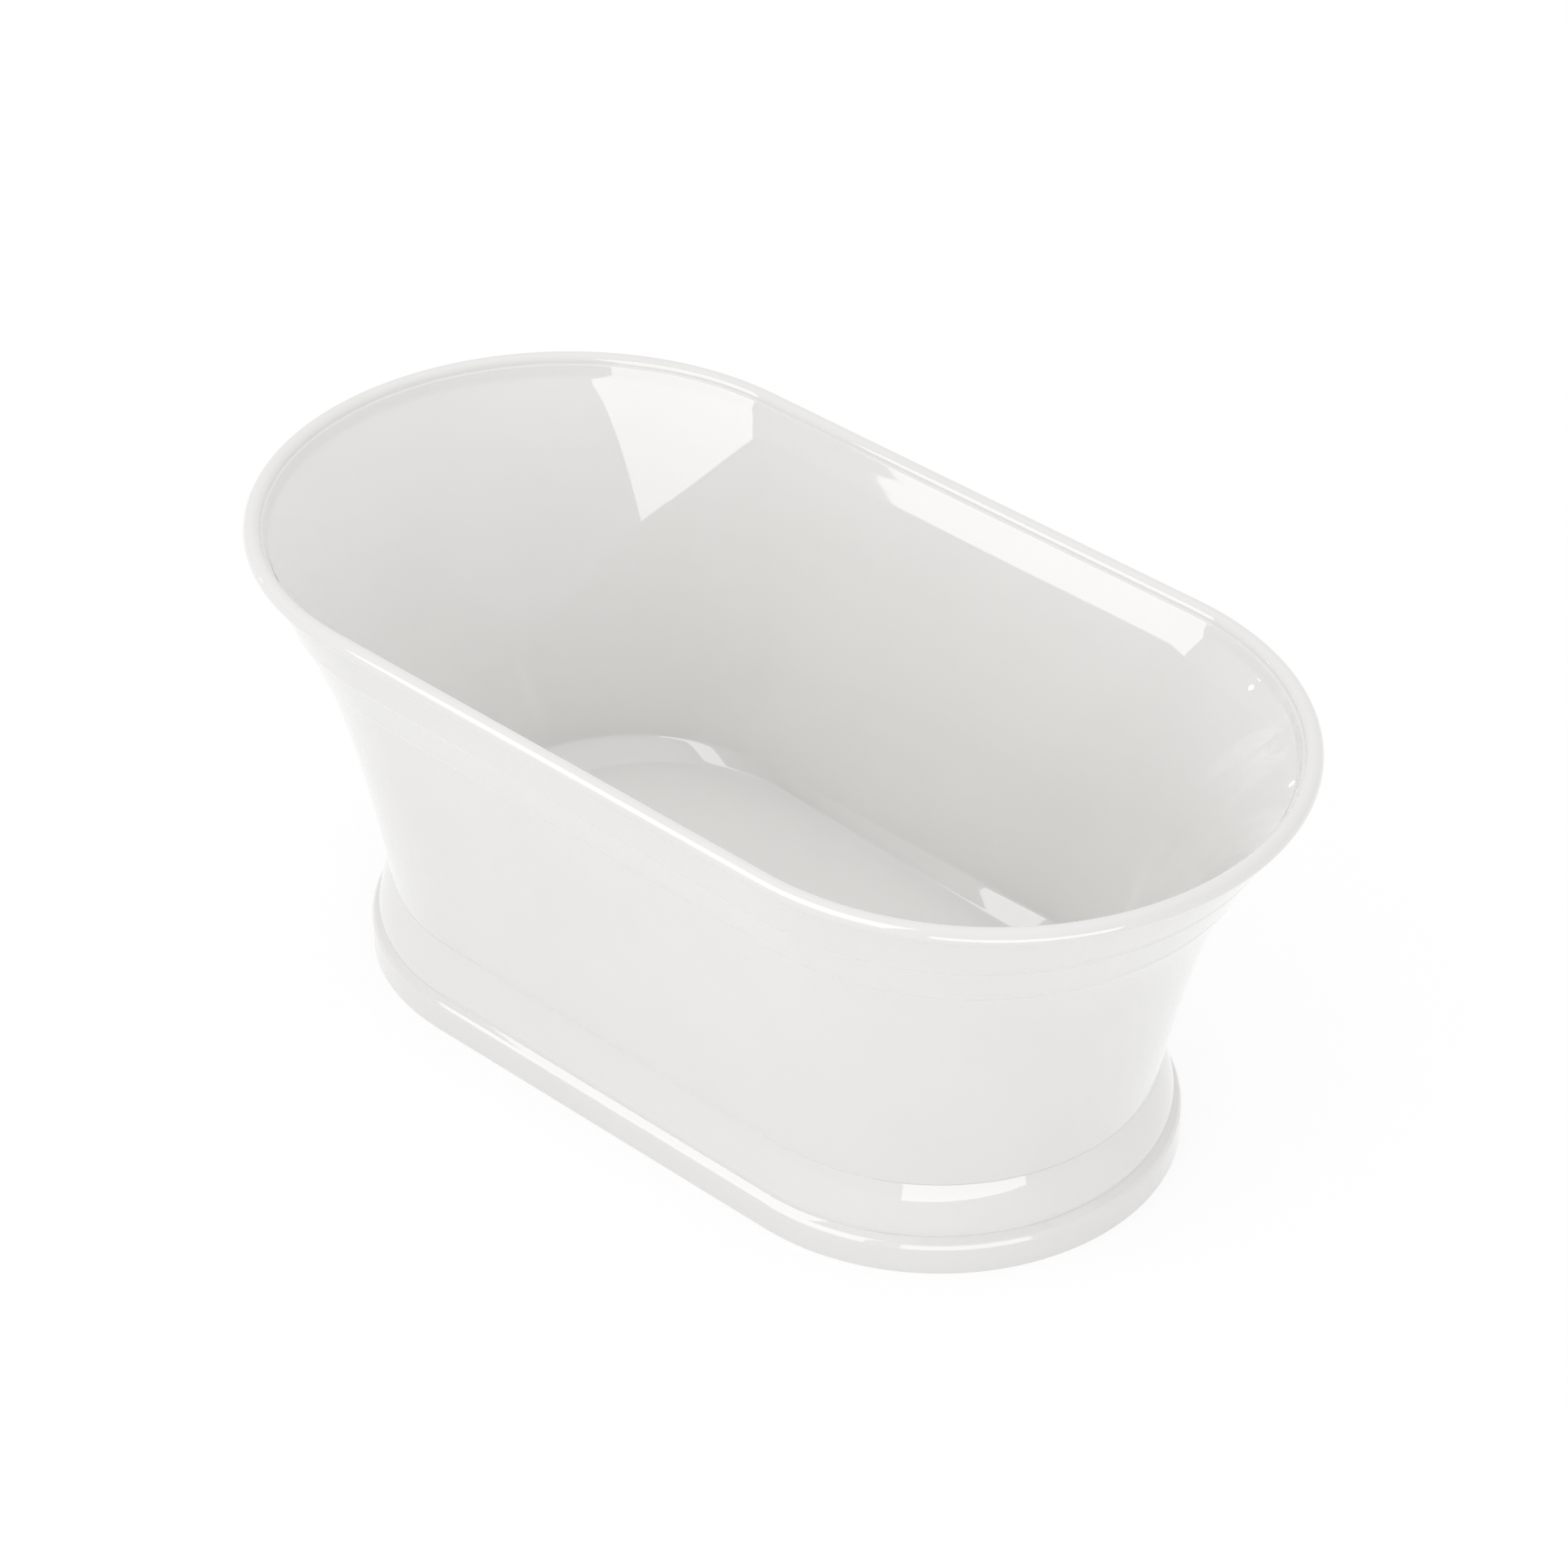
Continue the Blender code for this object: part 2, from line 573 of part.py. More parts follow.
def build_bar(name, number, x, length, feet):
    """A hat-section bar screwed up to the board, with a clear hole for each foot's stud."""
    half = BAR_CROWN / 2
    metal = BAR_METAL
    low = -BAR_DEPTH
    section = [
        (half + BAR_FLANGE, 0.0),
        (half, 0.0),
        (half, low),
        (-half, low),
        (-half, 0.0),
        (-half - BAR_FLANGE, 0.0),
        (-half - BAR_FLANGE, -metal),
        (-half - metal, -metal),
        (-half - metal, low - metal),
        (half + metal, low - metal),
        (half + metal, -metal),
        (half + BAR_FLANGE, -metal),
    ]
    top = board_underside() - GAP
    upright = Matrix.Translation((x, 0, top)) @ Matrix.Rotation(math.radians(90), 4, "X")
    bar = plate(name, [section], -length / 2, length / 2, upright, "zinc_steel")
    for foot_y in feet:
        place = Matrix.Translation((x, foot_y, top + low))
        radius = STUD_BORE + STUD_CLEARANCE
        tool = f"{name}_stud_tool_{foot_y:.2f}"
        boolean(bar, cylinder(tool, radius, -THROUGH, THROUGH, place, steps=16))
    for screw_number, screw_x, screw_y in screw_points():
        if screw_number == number:
            place = Matrix.Translation((screw_x, screw_y, top))
            radius = SCREW_RADIUS + GAP
            tool = f"{name}_screw_tool_{screw_x:.2f}_{screw_y:.2f}"
            boolean(bar, cylinder(tool, radius, -THROUGH, THROUGH, place, steps=10))


def build_screw(name, x, y):
    """A pan-head screw, its head under a bar's flange."""
    seat = board_underside() - GAP - BAR_METAL - GAP
    profile = [
        (0.0, SCREW_LENGTH),
        (SCREW_RADIUS * 0.4, SCREW_LENGTH),
        (SCREW_RADIUS, SCREW_LENGTH - SCREW_TIP),
        (SCREW_RADIUS, 0.0),
        (SCREW_HEAD_RADIUS, 0.0),
        (SCREW_HEAD_RADIUS, -SCREW_HEAD * 0.6),
        (SCREW_HEAD_RADIUS * 0.7, -SCREW_HEAD),
        (0.0, -SCREW_HEAD),
    ]
    turned(name, profile, Matrix.Translation((x, y, seat)), "zinc_steel", steps=10)


def build_foot(name, x, y):
    """A levelling foot: a stud held by two nuts on its bar, and the pad that it stands in."""
    crown_top = board_underside() - GAP - BAR_DEPTH
    crown_low = crown_top - BAR_METAL
    stud_top = board_underside() - GAP - STUD_HEADROOM
    pad_radius = STUD_BORE + PAD_RIM

    pad_profile = [
        (0.0, PAD_SOLE - GAP),
        (STUD_BORE, PAD_SOLE - GAP),
        (STUD_BORE, PAD_HEIGHT),
        (STUD_BORE + PAD_NECK, PAD_HEIGHT),
        (STUD_BORE + PAD_SHOULDER, mix(PAD_SOLE, PAD_HEIGHT, 0.27)),
        (pad_radius, PAD_SOLE),
        (pad_radius, PAD_EDGE),
        (pad_radius - PAD_EDGE, 0.0),
        (0.0, 0.0),
    ]
    turned(f"foot_pad_{name}", pad_profile, Matrix.Translation((x, y, 0)), "black_plastic", steps=16)

    stud = [
        (0.0, stud_top),
        (STUD_RADIUS - STUD_CHAMFER, stud_top),
        (STUD_RADIUS, stud_top - STUD_CHAMFER),
        (STUD_RADIUS, PAD_SOLE),
        (0.0, PAD_SOLE),
    ]
    turned(f"foot_stud_{name}", stud, Matrix.Translation((x, y, 0)), "zinc_steel", steps=16)

    hexagon = circle((STUD_BORE + NUT_WALL) / math.cos(math.pi / 6), 6)
    outlines = [hexagon, circle(STUD_BORE, 16)]
    place = Matrix.Translation((x, y, 0))
    for side, low in (("upper", crown_top + GAP), ("lower", crown_low - GAP - NUT_HEIGHT)):
        plate(f"foot_nut_{side}_{name}", outlines, low, low + NUT_HEIGHT, place, "zinc_steel")


def build_legs():
    left, middle, right = bar_places()
    half = foot_reach()
    bar_length = 2 * (half + BAR_OVERHANG)
    build_bar("leg_bar_back", 0, left, bar_length, (-half, half))
    build_bar("leg_bar_front", 2, right, bar_length, (-half, half))
    build_bar("centre_bracket", 1, middle, BRACKET_LENGTH, (0.0,))
    for count, (_, x, y) in enumerate(screw_points(), 1):
        build_screw(f"frame_screw_{count:02d}", x, y)
    for count, (_, x, y) in enumerate(foot_points(), 1):
        build_foot(str(count), x, y)


def waste_place():
    """The waste's axis: upright, with its origin on the floor's upper face."""
    _, front_end = floor_ends()
    x = front_end - WASTE_TO_FLOOR_END
    return Matrix.Translation((x, 0, floor_height(x)))


def build_waste():
    place = waste_place()
    seat = -WASTE_RECESS_DEPTH + GAP
    flange_under = seat + SEAL_THICKNESS + GAP
    seal_radius = FLANGE_RADIUS - SEAL_INSET
    ring("flange_seal", WASTE_HOLE, seal_radius, seat, seat + SEAL_THICKNESS, place, "rubber")

    tube_bore = FLANGE_TUBE_RADIUS - FLANGE_TUBE_WALL
    tube_end = -FLANGE_TUBE_LENGTH
    flange_profile = [
        (tube_bore, tube_end),
        (tube_bore, -FUNNEL_DEPTH),
        (tube_bore + FUNNEL_WIDTH, -FUNNEL_TOP),
        (FLANGE_TUBE_RADIUS + FUNNEL_MOUTH, flange_under + FLANGE_EDGE),
        (FLANGE_RADIUS - FLANGE_DISH_WIDTH, flange_under + FLANGE_DISH),
        (FLANGE_RADIUS - FLANGE_CREST, flange_under + FLANGE_THICKNESS),
        (FLANGE_RADIUS, flange_under + FLANGE_EDGE),
        (FLANGE_RADIUS, flange_under),
        (FLANGE_TUBE_RADIUS, flange_under),
        (FLANGE_TUBE_RADIUS, tube_end),
    ]
    flange = turned("waste_flange", flange_profile, place, "chrome", closed=True)
    spider_top = -SPIDER_DEPTH
    spider_low = spider_top - SPIDER_HEIGHT
    for count in range(3):
        turn = Matrix.Rotation(math.pi * count / 3, 4, "Z")
        length = 2 * (tube_bore + WELD)
        bar = spider_bar(f"spider_tool_{count}", length, spider_low, spider_top, place @ turn)
        boolean(flange, bar, "UNION")
    boolean(flange, cylinder("hub_tool", HUB_RADIUS, spider_low, spider_top, place, steps=16), "UNION")
    hub_bore = CARTRIDGE_RADIUS + SLIDE_CLEARANCE
    boolean(flange, cylinder("hub_bore_tool", hub_bore, -THROUGH, THROUGH, place, steps=16))

    stem_bore = STEM_RADIUS + SLIDE_CLEARANCE
    collar = CARTRIDGE_RADIUS + CARTRIDGE_COLLAR
    cartridge = [
        (stem_bore, spider_low - CARTRIDGE_TAIL),
        (stem_bore, spider_top + CARTRIDGE_HEAD),
        (collar, spider_top + CARTRIDGE_HEAD),
        (collar, spider_top + GAP),
        (CARTRIDGE_RADIUS, spider_top + GAP),
        (CARTRIDGE_RADIUS, spider_low - CARTRIDGE_TAIL),
    ]
    turned("plug_cartridge", cartridge, place, "brass", steps=16, closed=True)

    cap_low = flange_under + FLANGE_THICKNESS + GAP
    stem_top = cap_low + CAP_HEIGHT * 0.45
    stem_low = spider_low - STEM_TAIL
    stem = [(0.0, stem_top), (STEM_RADIUS, stem_top), (STEM_RADIUS, stem_low), (0.0, stem_low)]
    turned("plug_stem", stem, place, "brass", steps=16)

    step_radius = CAP_BOSS_RADIUS + CAP_BOSS_STEP
    washer_top = -PLUG_SEAL_DROP
    washer_low = washer_top - PLUG_SEAL_THICKNESS
    boss_low = washer_low - CAP_BOSS_FOOT
    socket = STEM_RADIUS + GAP
    cap = [
        (0.0, cap_low + CAP_HEIGHT),
        (CAP_RADIUS * 0.45, cap_low + CAP_HEIGHT * 0.93),
        (CAP_RADIUS * 0.82, cap_low + CAP_HEIGHT * 0.66),
        (CAP_RADIUS * 0.97, cap_low + CAP_HEIGHT * 0.36),
        (CAP_RADIUS, cap_low + CAP_EDGE),
        (CAP_RADIUS - CAP_EDGE, cap_low),
        (step_radius, cap_low),
        (step_radius, washer_top + GAP),
        (CAP_BOSS_RADIUS, washer_top + GAP),
        (CAP_BOSS_RADIUS, boss_low),
        (socket, boss_low),
        (socket, stem_top + GAP),
        (0.0, stem_top + GAP),
    ]
    turned("plug_cap", cap, place, "chrome", steps=24)
    washer_radius = tube_bore + FUNNEL_WIDTH + 2 * GAP
    ring("plug_seal", CAP_BOSS_RADIUS + GAP, washer_radius, washer_low, washer_top, place, "rubber")

    gasket_top = -WASTE_BOSS_DEPTH - GAP
    gasket_low = gasket_top - GASKET_THICKNESS
    bore = WASTE_HOLE + WASTE_HOLE_CLEARANCE
    ring("waste_gasket", bore, WASTE_COLLAR_RADIUS, gasket_low, gasket_top, place, "rubber")

    body_top = gasket_low - GAP
    body_low = body_top - WASTE_BODY_LENGTH
    tail_low = body_low - WASTE_TAIL_LENGTH
    thread = FLANGE_TUBE_RADIUS + GAP
    outside = thread + WASTE_BODY_WALL
    tail = outside - WASTE_TAIL_STEP
    tail_bore = tail - WASTE_TAIL_WALL
    body_profile = [
        (WASTE_COLLAR_RADIUS, body_top),
        (WASTE_COLLAR_RADIUS, body_top - COLLAR_THICKNESS),
        (outside, body_top - COLLAR_THICKNESS - COLLAR_CHAMFER),
        (outside, body_low + WASTE_TAIL_CHAMFER),
        (tail, body_low),
        (tail, tail_low),
        (tail_bore, tail_low),
        (tail_bore, body_low),
        (thread, body_low + thread - tail_bore),
        (thread, body_top),
    ]
    body = turned("waste_body", body_profile, place, "white_plastic", closed=True)
    inlet = place @ Matrix.Translation((0, 0, -INLET_DROP)) @ Matrix.Rotation(math.radians(90), 4, "Y")
    start = thread + WELD
    boolean(body, cylinder("inlet_tool", SPIGOT_RADIUS, start, INLET_REACH, inlet, steps=16), "UNION")
    bore_end = INLET_REACH + THROUGH
    boolean(body, cylinder("inlet_bore_tool", SPIGOT_BORE, 0.0, bore_end, inlet, steps=16))


def spider_bar(name, length, low, high, place):
    def build(shape):
        size = Matrix.Diagonal((length, SPIDER_BAR, high - low, 1.0))
        centre = Matrix.Translation((0, 0, (low + high) / 2))
        bmesh.ops.create_cube(shape, size=1.0, matrix=centre @ size)

    return add_object(name, mesh_of(name, build), None, place)


def overflow_place():
    """A frame on the front end's inner wall, its Z axis square to the wall and into the bath."""
    height = BATH_HEIGHT - OVERFLOW_DROP
    point = at_height(wall_curve, height)
    above = at_height(wall_curve, height + 0.01)
    below = at_height(wall_curve, height - 0.01)
    up_wall = Vector((below[1] - above[1], 0, above[2] - below[2])).normalized()
    across = Vector((0, 1, 0))
    inwards = up_wall.cross(across)
    if inwards.x > 0:
        inwards.negate()
        across.negate()
    frame = Matrix((up_wall, across, inwards)).transposed().to_4x4()
    return Matrix.Translation((BATH_LENGTH / 2 - point[1], 0, point[2])) @ frame


def outer_end(height):
    """The X of the outer skin's inner face at the front end."""
    points = outer_profile()
    for upper, lower in zip(points, points[1:]):
        if lower[2] <= height <= upper[2]:
            share = (upper[2] - height) / (upper[2] - lower[2])
            return BATH_LENGTH / 2 - mix(upper[1], lower[1], share) - SKIN
    return BATH_LENGTH / 2 - points[-1][1] - SKIN


def elbow_top():
    """The height of the elbow's flange on the overflow's axis."""
    return -SKIN - PAD_BACK - GAP - GASKET_THICKNESS - GAP


def elbow_depth():
    """How deep the elbow is: the room behind its flange, less its clearance to the outer skin."""
    place = overflow_place()
    near, far = 0.0, 0.2
    for _ in range(40):
        middle = (near + far) / 2
        point = place @ Vector((0, 0, elbow_top() - middle))
        if point.x < outer_end(point.z):
            near = middle
        else:
            far = middle
    return near - ELBOW_CLEARANCE


def hollow_middle(height):
    """The X midway between the two skins at the front end."""
    inner = BATH_LENGTH / 2 - at_height(wall_curve, height)[1] + SKIN
    outer = BATH_LENGTH / 2 - at_height(body_curve, height)[1] - SKIN
    return (inner + outer) / 2


def towards(start, end):
    """A frame at start, its Z axis pointing at end."""
    turn = (end - start).to_track_quat("Z", "Y").to_matrix().to_4x4()
    return Matrix.Translation(start) @ turn


def spigot_place():
    """The elbow's outlet: from the middle of its body down into the hollow between the skins."""
    centre = overflow_place() @ Vector((0, 0, elbow_top() - elbow_depth() / 2))
    height = centre.z - SPIGOT_FALL
    return towards(centre, Vector((hollow_middle(height), 0, height)))


def inlet_end():
    return waste_place() @ Vector((INLET_REACH, 0, -INLET_DROP))


def build_overflow():
    place = overflow_place()
    seal_low = PAD_PROUD + GAP
    seal_top = seal_low + SEAL_THICKNESS
    seal_bore = OVERFLOW_HOLE + COVER_SEAL_CLEARANCE
    seal_radius = COVER_RADIUS - COVER_SEAL_INSET
    ring("overflow_seal", seal_bore, seal_radius, seal_low, seal_top, place, "rubber")

    low = seal_top + GAP
    cover_profile = [
        (0.0, low + COVER_HEIGHT),
        (COVER_RADIUS * 0.55, low + COVER_HEIGHT * 0.95),
        (COVER_RADIUS * 0.88, low + COVER_HEIGHT * 0.68),
        (COVER_RADIUS, low + COVER_HEIGHT * 0.25),
        (COVER_RADIUS, low),
        (COVER_RADIUS - COVER_WALL, low),
        (COVER_RADIUS * 0.86, low + COVER_HEIGHT * 0.68 - COVER_WALL),
        (COVER_RADIUS * 0.50, low + COVER_HEIGHT * 0.95 - COVER_WALL),
        (0.0, low + COVER_HEIGHT - COVER_WALL),
    ]
    cover = turned("overflow_cover", cover_profile, place, "chrome", steps=24)
    for count in range(COVER_HOLES):
        turn = Matrix.Rotation(math.tau * count / COVER_HOLES, 4, "Z")
        spot = place @ turn @ Matrix.Translation((COVER_HOLE_CIRCLE, 0, 0))
        tool = f"cover_hole_tool_{count}"
        boolean(cover, cylinder(tool, COVER_HOLE_RADIUS, 0, THROUGH, spot, steps=12))
    screw_bore = OVERFLOW_SCREW_RADIUS + GAP
    boolean(cover, cylinder("cover_screw_tool", screw_bore, 0, THROUGH, place, steps=12))

    gasket_top = -SKIN - PAD_BACK - GAP
    gasket_low = gasket_top - GASKET_THICKNESS
    flange = ELBOW_FLANGE_RADIUS
    gasket_bore = OVERFLOW_HOLE + OVERFLOW_GASKET_CLEARANCE
    ring("overflow_gasket", gasket_bore, flange, gasket_low, gasket_top, place, "rubber")

    top = elbow_top()
    back = top - elbow_depth()
    neck = top - ELBOW_FLANGE_THICKNESS
    mouth = ELBOW_BODY_RADIUS - ELBOW_WALL
    boss_top = 0.0
    drill = OVERFLOW_SCREW_RADIUS + GAP
    screw_end = boss_top - OVERFLOW_SCREW_LENGTH
    elbow_profile = [
        (0.0, screw_end - GAP),
        (drill, screw_end - GAP),
        (drill, boss_top),
        (SCREW_BOSS_RADIUS, boss_top),
        (SCREW_BOSS_RADIUS, back + ELBOW_WALL),
        (mouth - ELBOW_CHAMFER, back + ELBOW_WALL),
        (mouth, back + ELBOW_WALL + ELBOW_CHAMFER),
        (mouth, top),
        (flange, top),
        (flange, neck),
        (ELBOW_BODY_RADIUS, neck - ELBOW_INSET),
        (ELBOW_BODY_RADIUS, back + ELBOW_CHAMFER),
        (ELBOW_BODY_RADIUS - ELBOW_CHAMFER, back),
        (0.0, back),
    ]
    elbow = turned("overflow_elbow", elbow_profile, place, "white_plastic")
    spigot = spigot_place()
    pipe = cylinder("spigot_tool", SPIGOT_RADIUS, mouth - WELD, SPIGOT_REACH, spigot, steps=16)
    boolean(elbow, pipe, "UNION")
    bore_start = SCREW_BOSS_RADIUS + SCREW_BOSS_CLEARANCE
    bore_end = SPIGOT_REACH + THROUGH
    bore = cylinder("spigot_bore_tool", SPIGOT_BORE, bore_start, bore_end, spigot, steps=16)
    boolean(elbow, bore)

    head_seat = low + COVER_HEIGHT + GAP
    head = OVERFLOW_SCREW_HEAD
    shank = OVERFLOW_SCREW_RADIUS
    screw = [
        (0.0, head_seat + OVERFLOW_HEAD_HEIGHT),
        (head * 0.7, head_seat + OVERFLOW_HEAD_HEIGHT * 0.9),
        (head, head_seat + OVERFLOW_HEAD_EDGE),
        (head, head_seat),
        (shank, head_seat),
        (shank, screw_end),
        (0.0, screw_end),
    ]
    turned("overflow_screw", screw, place, "chrome", steps=16)


def hose_route():
    """Points from the elbow's outlet, down between the skins, to the waste body's inlet."""
    outlet = spigot_place()
    first = outlet @ Vector((0, 0, SPIGOT_REACH + HOSE_GAP))
    second = outlet @ Vector((0, 0, SPIGOT_REACH + HOSE_LEAD))
    last = inlet_end() + Vector((HOSE_GAP, 0, 0))
    before_last = last + Vector((HOSE_TAIL, 0, 0))
    lowest = BASIN_HEIGHT + HOSE_HOLLOW_END
    points = [first, second]
    for share in (0.25, 0.5, 0.75, 1.0):
        height = mix(second.z, lowest, share)
        points.append(Vector((hollow_middle(height), 0, height)))
    waist = hollow_middle(WAIST_HEIGHT + HOSE_LEAD)
    sag = waist - HOSE_SAG_INSET
    points.append(Vector((waist - HOSE_BEND_INSET, 0, lowest - HOSE_BEND_DROP)))
    points.append(Vector((sag, 0, last.z + HOSE_SAG_RISE)))
    points.append(Vector((mix(before_last.x, sag, 0.5), 0, last.z + HOSE_SAG_RISE / 10)))
    return [*points, before_last, last]


def smooth(points, steps):
    """Points evenly spaced in number along a Catmull-Rom curve through the route."""
    padded = [2 * points[0] - points[1], *points, 2 * points[-1] - points[-2]]
    curve = []
    for a, b, c, d in zip(padded, padded[1:], padded[2:], padded[3:]):
        for i in range(steps):
            t = i / steps
            bend = (2 * a - 5 * b + 4 * c - d) * t + (3 * b - a - 3 * c + d) * t * t
            curve.append(b + (c - a + bend) * t / 2)
    return [*curve, points[-1]]


def build_hose():
    curve = bpy.data.curves.new("overflow_hose", "CURVE")
    curve.dimensions = "3D"
    curve.bevel_depth = HOSE_RADIUS
    curve.bevel_resolution = 2
    curve.use_fill_caps = False
    spline = curve.splines.new("POLY")
    points = smooth(hose_route(), 2)
    spline.points.add(len(points) - 1)
    for point, place in zip(spline.points, points):
        point.co = (*place, 1)
    hose = solid_from_curve("overflow_hose", curve, LEVEL, "white_plastic")
    wall = hose.modifiers.new("wall", "SOLIDIFY")
    wall.thickness = HOSE_WALL
    wall.offset = -1

    reach = HOSE_NUT_LENGTH - HOSE_NUT_LIP
    bore = SPIGOT_RADIUS + GAP
    nut_top = HOSE_NUT_LIP + HOSE_NUT_CAP
    nut_profile = [
        (HOSE_NUT_RADIUS, nut_top),
        (HOSE_NUT_RADIUS, -reach),
        (bore, -reach),
        (bore, GAP),
        (HOSE_RADIUS + GAP, GAP),
        (HOSE_RADIUS + GAP, nut_top),
    ]
    top_place = spigot_place() @ Matrix.Translation((0, 0, SPIGOT_REACH))
    turned("hose_nut_top", nut_profile, top_place, "white_plastic", steps=16, closed=True)
    end = inlet_end()
    low_place = towards(end, end + Vector((1, 0, 0)))
    turned("hose_nut_bottom", nut_profile, low_place, "white_plastic", steps=16, closed=True)


def shade_parts():
    for obj in parts.objects:
        obj.data.shade_smooth()
        obj.data.set_sharp_from_angle(angle=math.radians(35))


clear_scene()
parts = new_collection("freestanding_bath")
cutters = new_collection("cutters")
build_inner_shell()
build_outer_shell()
build_plinth()
build_board()
build_legs()
build_waste()
build_overflow()
build_hose()
shade_parts()
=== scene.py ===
"""A freestanding acrylic bath over its CAD frame: fine skins, the waste, the overflow and the
feet in full detail, the finish of each, and a plain white studio."""

import json
import math

import bmesh
import bpy
from mathutils import Matrix, Vector

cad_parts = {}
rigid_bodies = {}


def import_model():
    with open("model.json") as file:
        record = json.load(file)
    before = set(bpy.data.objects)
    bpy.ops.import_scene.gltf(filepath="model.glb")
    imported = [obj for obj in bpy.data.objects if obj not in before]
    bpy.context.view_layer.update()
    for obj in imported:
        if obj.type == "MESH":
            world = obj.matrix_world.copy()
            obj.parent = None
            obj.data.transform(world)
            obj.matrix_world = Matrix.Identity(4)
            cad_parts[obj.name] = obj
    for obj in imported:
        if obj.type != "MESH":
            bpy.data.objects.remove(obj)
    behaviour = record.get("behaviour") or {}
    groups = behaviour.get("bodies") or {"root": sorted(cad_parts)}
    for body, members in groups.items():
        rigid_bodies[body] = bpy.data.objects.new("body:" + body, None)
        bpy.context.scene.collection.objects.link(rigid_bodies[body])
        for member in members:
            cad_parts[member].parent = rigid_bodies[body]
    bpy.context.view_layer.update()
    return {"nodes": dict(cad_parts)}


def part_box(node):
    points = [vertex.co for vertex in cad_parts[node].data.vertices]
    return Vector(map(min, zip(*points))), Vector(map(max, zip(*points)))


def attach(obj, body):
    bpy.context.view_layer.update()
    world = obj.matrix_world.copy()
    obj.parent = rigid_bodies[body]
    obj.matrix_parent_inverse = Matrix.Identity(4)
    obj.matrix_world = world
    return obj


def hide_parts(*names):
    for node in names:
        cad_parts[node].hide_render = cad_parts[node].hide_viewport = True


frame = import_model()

MM = 0.001
LEVEL = Matrix.Identity(4)

# ---------------------------------------------------------------------------------------
# Sizes in metres. The overall ones are read from the frame, and GAP is the clearance
# between neighbouring pieces.
# ---------------------------------------------------------------------------------------

shell_low, shell_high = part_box("inner_shell")
plinth_low, plinth_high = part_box("plinth")
outer_low, outer_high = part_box("outer_shell")

LENGTH = shell_high.x - shell_low.x
WIDTH = shell_high.y - shell_low.y
HEIGHT = shell_high.z
SKIN = 5 * MM
GAP = 0.3 * MM
WELD = 1 * MM
THROUGH = 30 * MM

# Rolled rim, and inside it the cove, the bead and the lip, each as its inset and drop
ROLL_RADIUS = 11 * MM
ROLL_START, ROLL_END, ROLL_STEPS = -112.5, 157.5, 60
COVE = (21.9 * MM, 10.2 * MM)
BEAD = (24.4 * MM, 11.4 * MM)
LIP = (30 * MM, 25 * MM)
COVE_ROUND, BEAD_ROUND, LIP_ROUND = 0.8 * MM, 0.9 * MM, 4.0 * MM

# Fascia bands and the body below them: inset at the sides, inset at the ends, drop
TOP_INSET = 14.5 * MM
TOP_UPRIGHT = 4 * MM
STEP_1 = (31.5 * MM, 47.1 * MM, 91.5 * MM)
STEP_2 = (53.5 * MM, 75.5 * MM, 147.5 * MM)
LEDGE_WIDTH = 3.4 * MM
LEDGE_ROUND = 5.0 * MM
TOP_SOFT, LEDGE_SOFT, LEDGE_EDGE = 3 * MM, 3 * MM, 0.5 * MM
BODY_LEAN, BODY_BEND = 0.54, 0.28
WAIST = (113.7 * MM, 184.2 * MM)
WAIST_HEIGHT = plinth_high.z

# Plinth
TIER = (94.5 * MM, 168.0 * MM)
TIER_HEIGHT, TIER_ROUND, TIER_DRAFT = 50 * MM, 6 * MM, 0.6 * MM
CREASE_DEPTH, CREASE_DROP = 3.0 * MM, 4.5 * MM
FOOT = (87.0 * MM, 156.2 * MM)
FOOT_HEIGHT, FOOT_FLARE, FOOT_EDGE = 39 * MM, 0.9 * MM, 4 * MM
FOOT_SHELF, FOOT_SHELF_RISE = 4.2 * MM, 1.5 * MM
PLINTH_EDGE, PLINTH_FILLET = 0.8 * MM, 14 * MM
TIER_TOP_SOFT, TIER_LOW_SOFT = 6 * MM, 3 * MM
CREASE_SOFT, SHELF_SOFT, FOOT_SOFT = 1 * MM, 1.6 * MM, 2 * MM
RETURN_FLANGE = 18 * MM

# Basin
BASIN = (150.5 * MM, 273.0 * MM)
BASIN_HEIGHT = 137 * MM
WALL_TOP = (0.28, 0.28, 0.16)
WALL_LOW = (0.70, 0.70, 0.52)
# Shares of the wall's curve where the lip has ended and where the floor's step begins
LIP_END, WALL_END = 0.04, 0.977
# Shares of the step's neighbouring spans that its soft top and foot take up
STEP_TOP, STEP_FOOT = (0.22, 0.12), (0.10, 0.40)
FLOOR_STEP = 6 * MM
FLOOR_FALL = 6 * MM
FLOOR_BACK_INSET, FLOOR_WASTE_INSET = 38 * MM, 30 * MM
FLOOR_BACK_MARGIN, FLOOR_WASTE_MARGIN = 1.0 * MM, 23.1 * MM
FLOOR_ROUND = 8 * MM

# Waste
WASTE_TO_FLOOR_END = 150 * MM
WASTE_HOLE = 23.5 * MM
WASTE_RECESS, WASTE_RECESS_DEPTH = 36.5 * MM, 3 * MM
RECESS_SOFT = 0.8 * MM
WASTE_BOSS, WASTE_BOSS_DEPTH = 46 * MM, 8.5 * MM
TUBE_RADIUS, TUBE_BORE, TUBE_LENGTH = 22.5 * MM, 19.5 * MM, 41 * MM
FLANGE_RADIUS, FLANGE_UNDER, FLANGE_THICKNESS = 35 * MM, -0.9 * MM, 3.6 * MM
FLANGE_EDGE, FLANGE_DISH, FLANGE_CREST = 1.2 * MM, 8 * MM, 3 * MM
FUNNEL_LOW, FUNNEL_HIGH, FUNNEL_FLARE = -12 * MM, -4.5 * MM, 1 * MM
SPIDER_TOP, SPIDER_LOW, SPIDER_BAR = -13 * MM, -19 * MM, 4 * MM
HUB_RADIUS, HUB_BORE = 7 * MM, 4.4 * MM
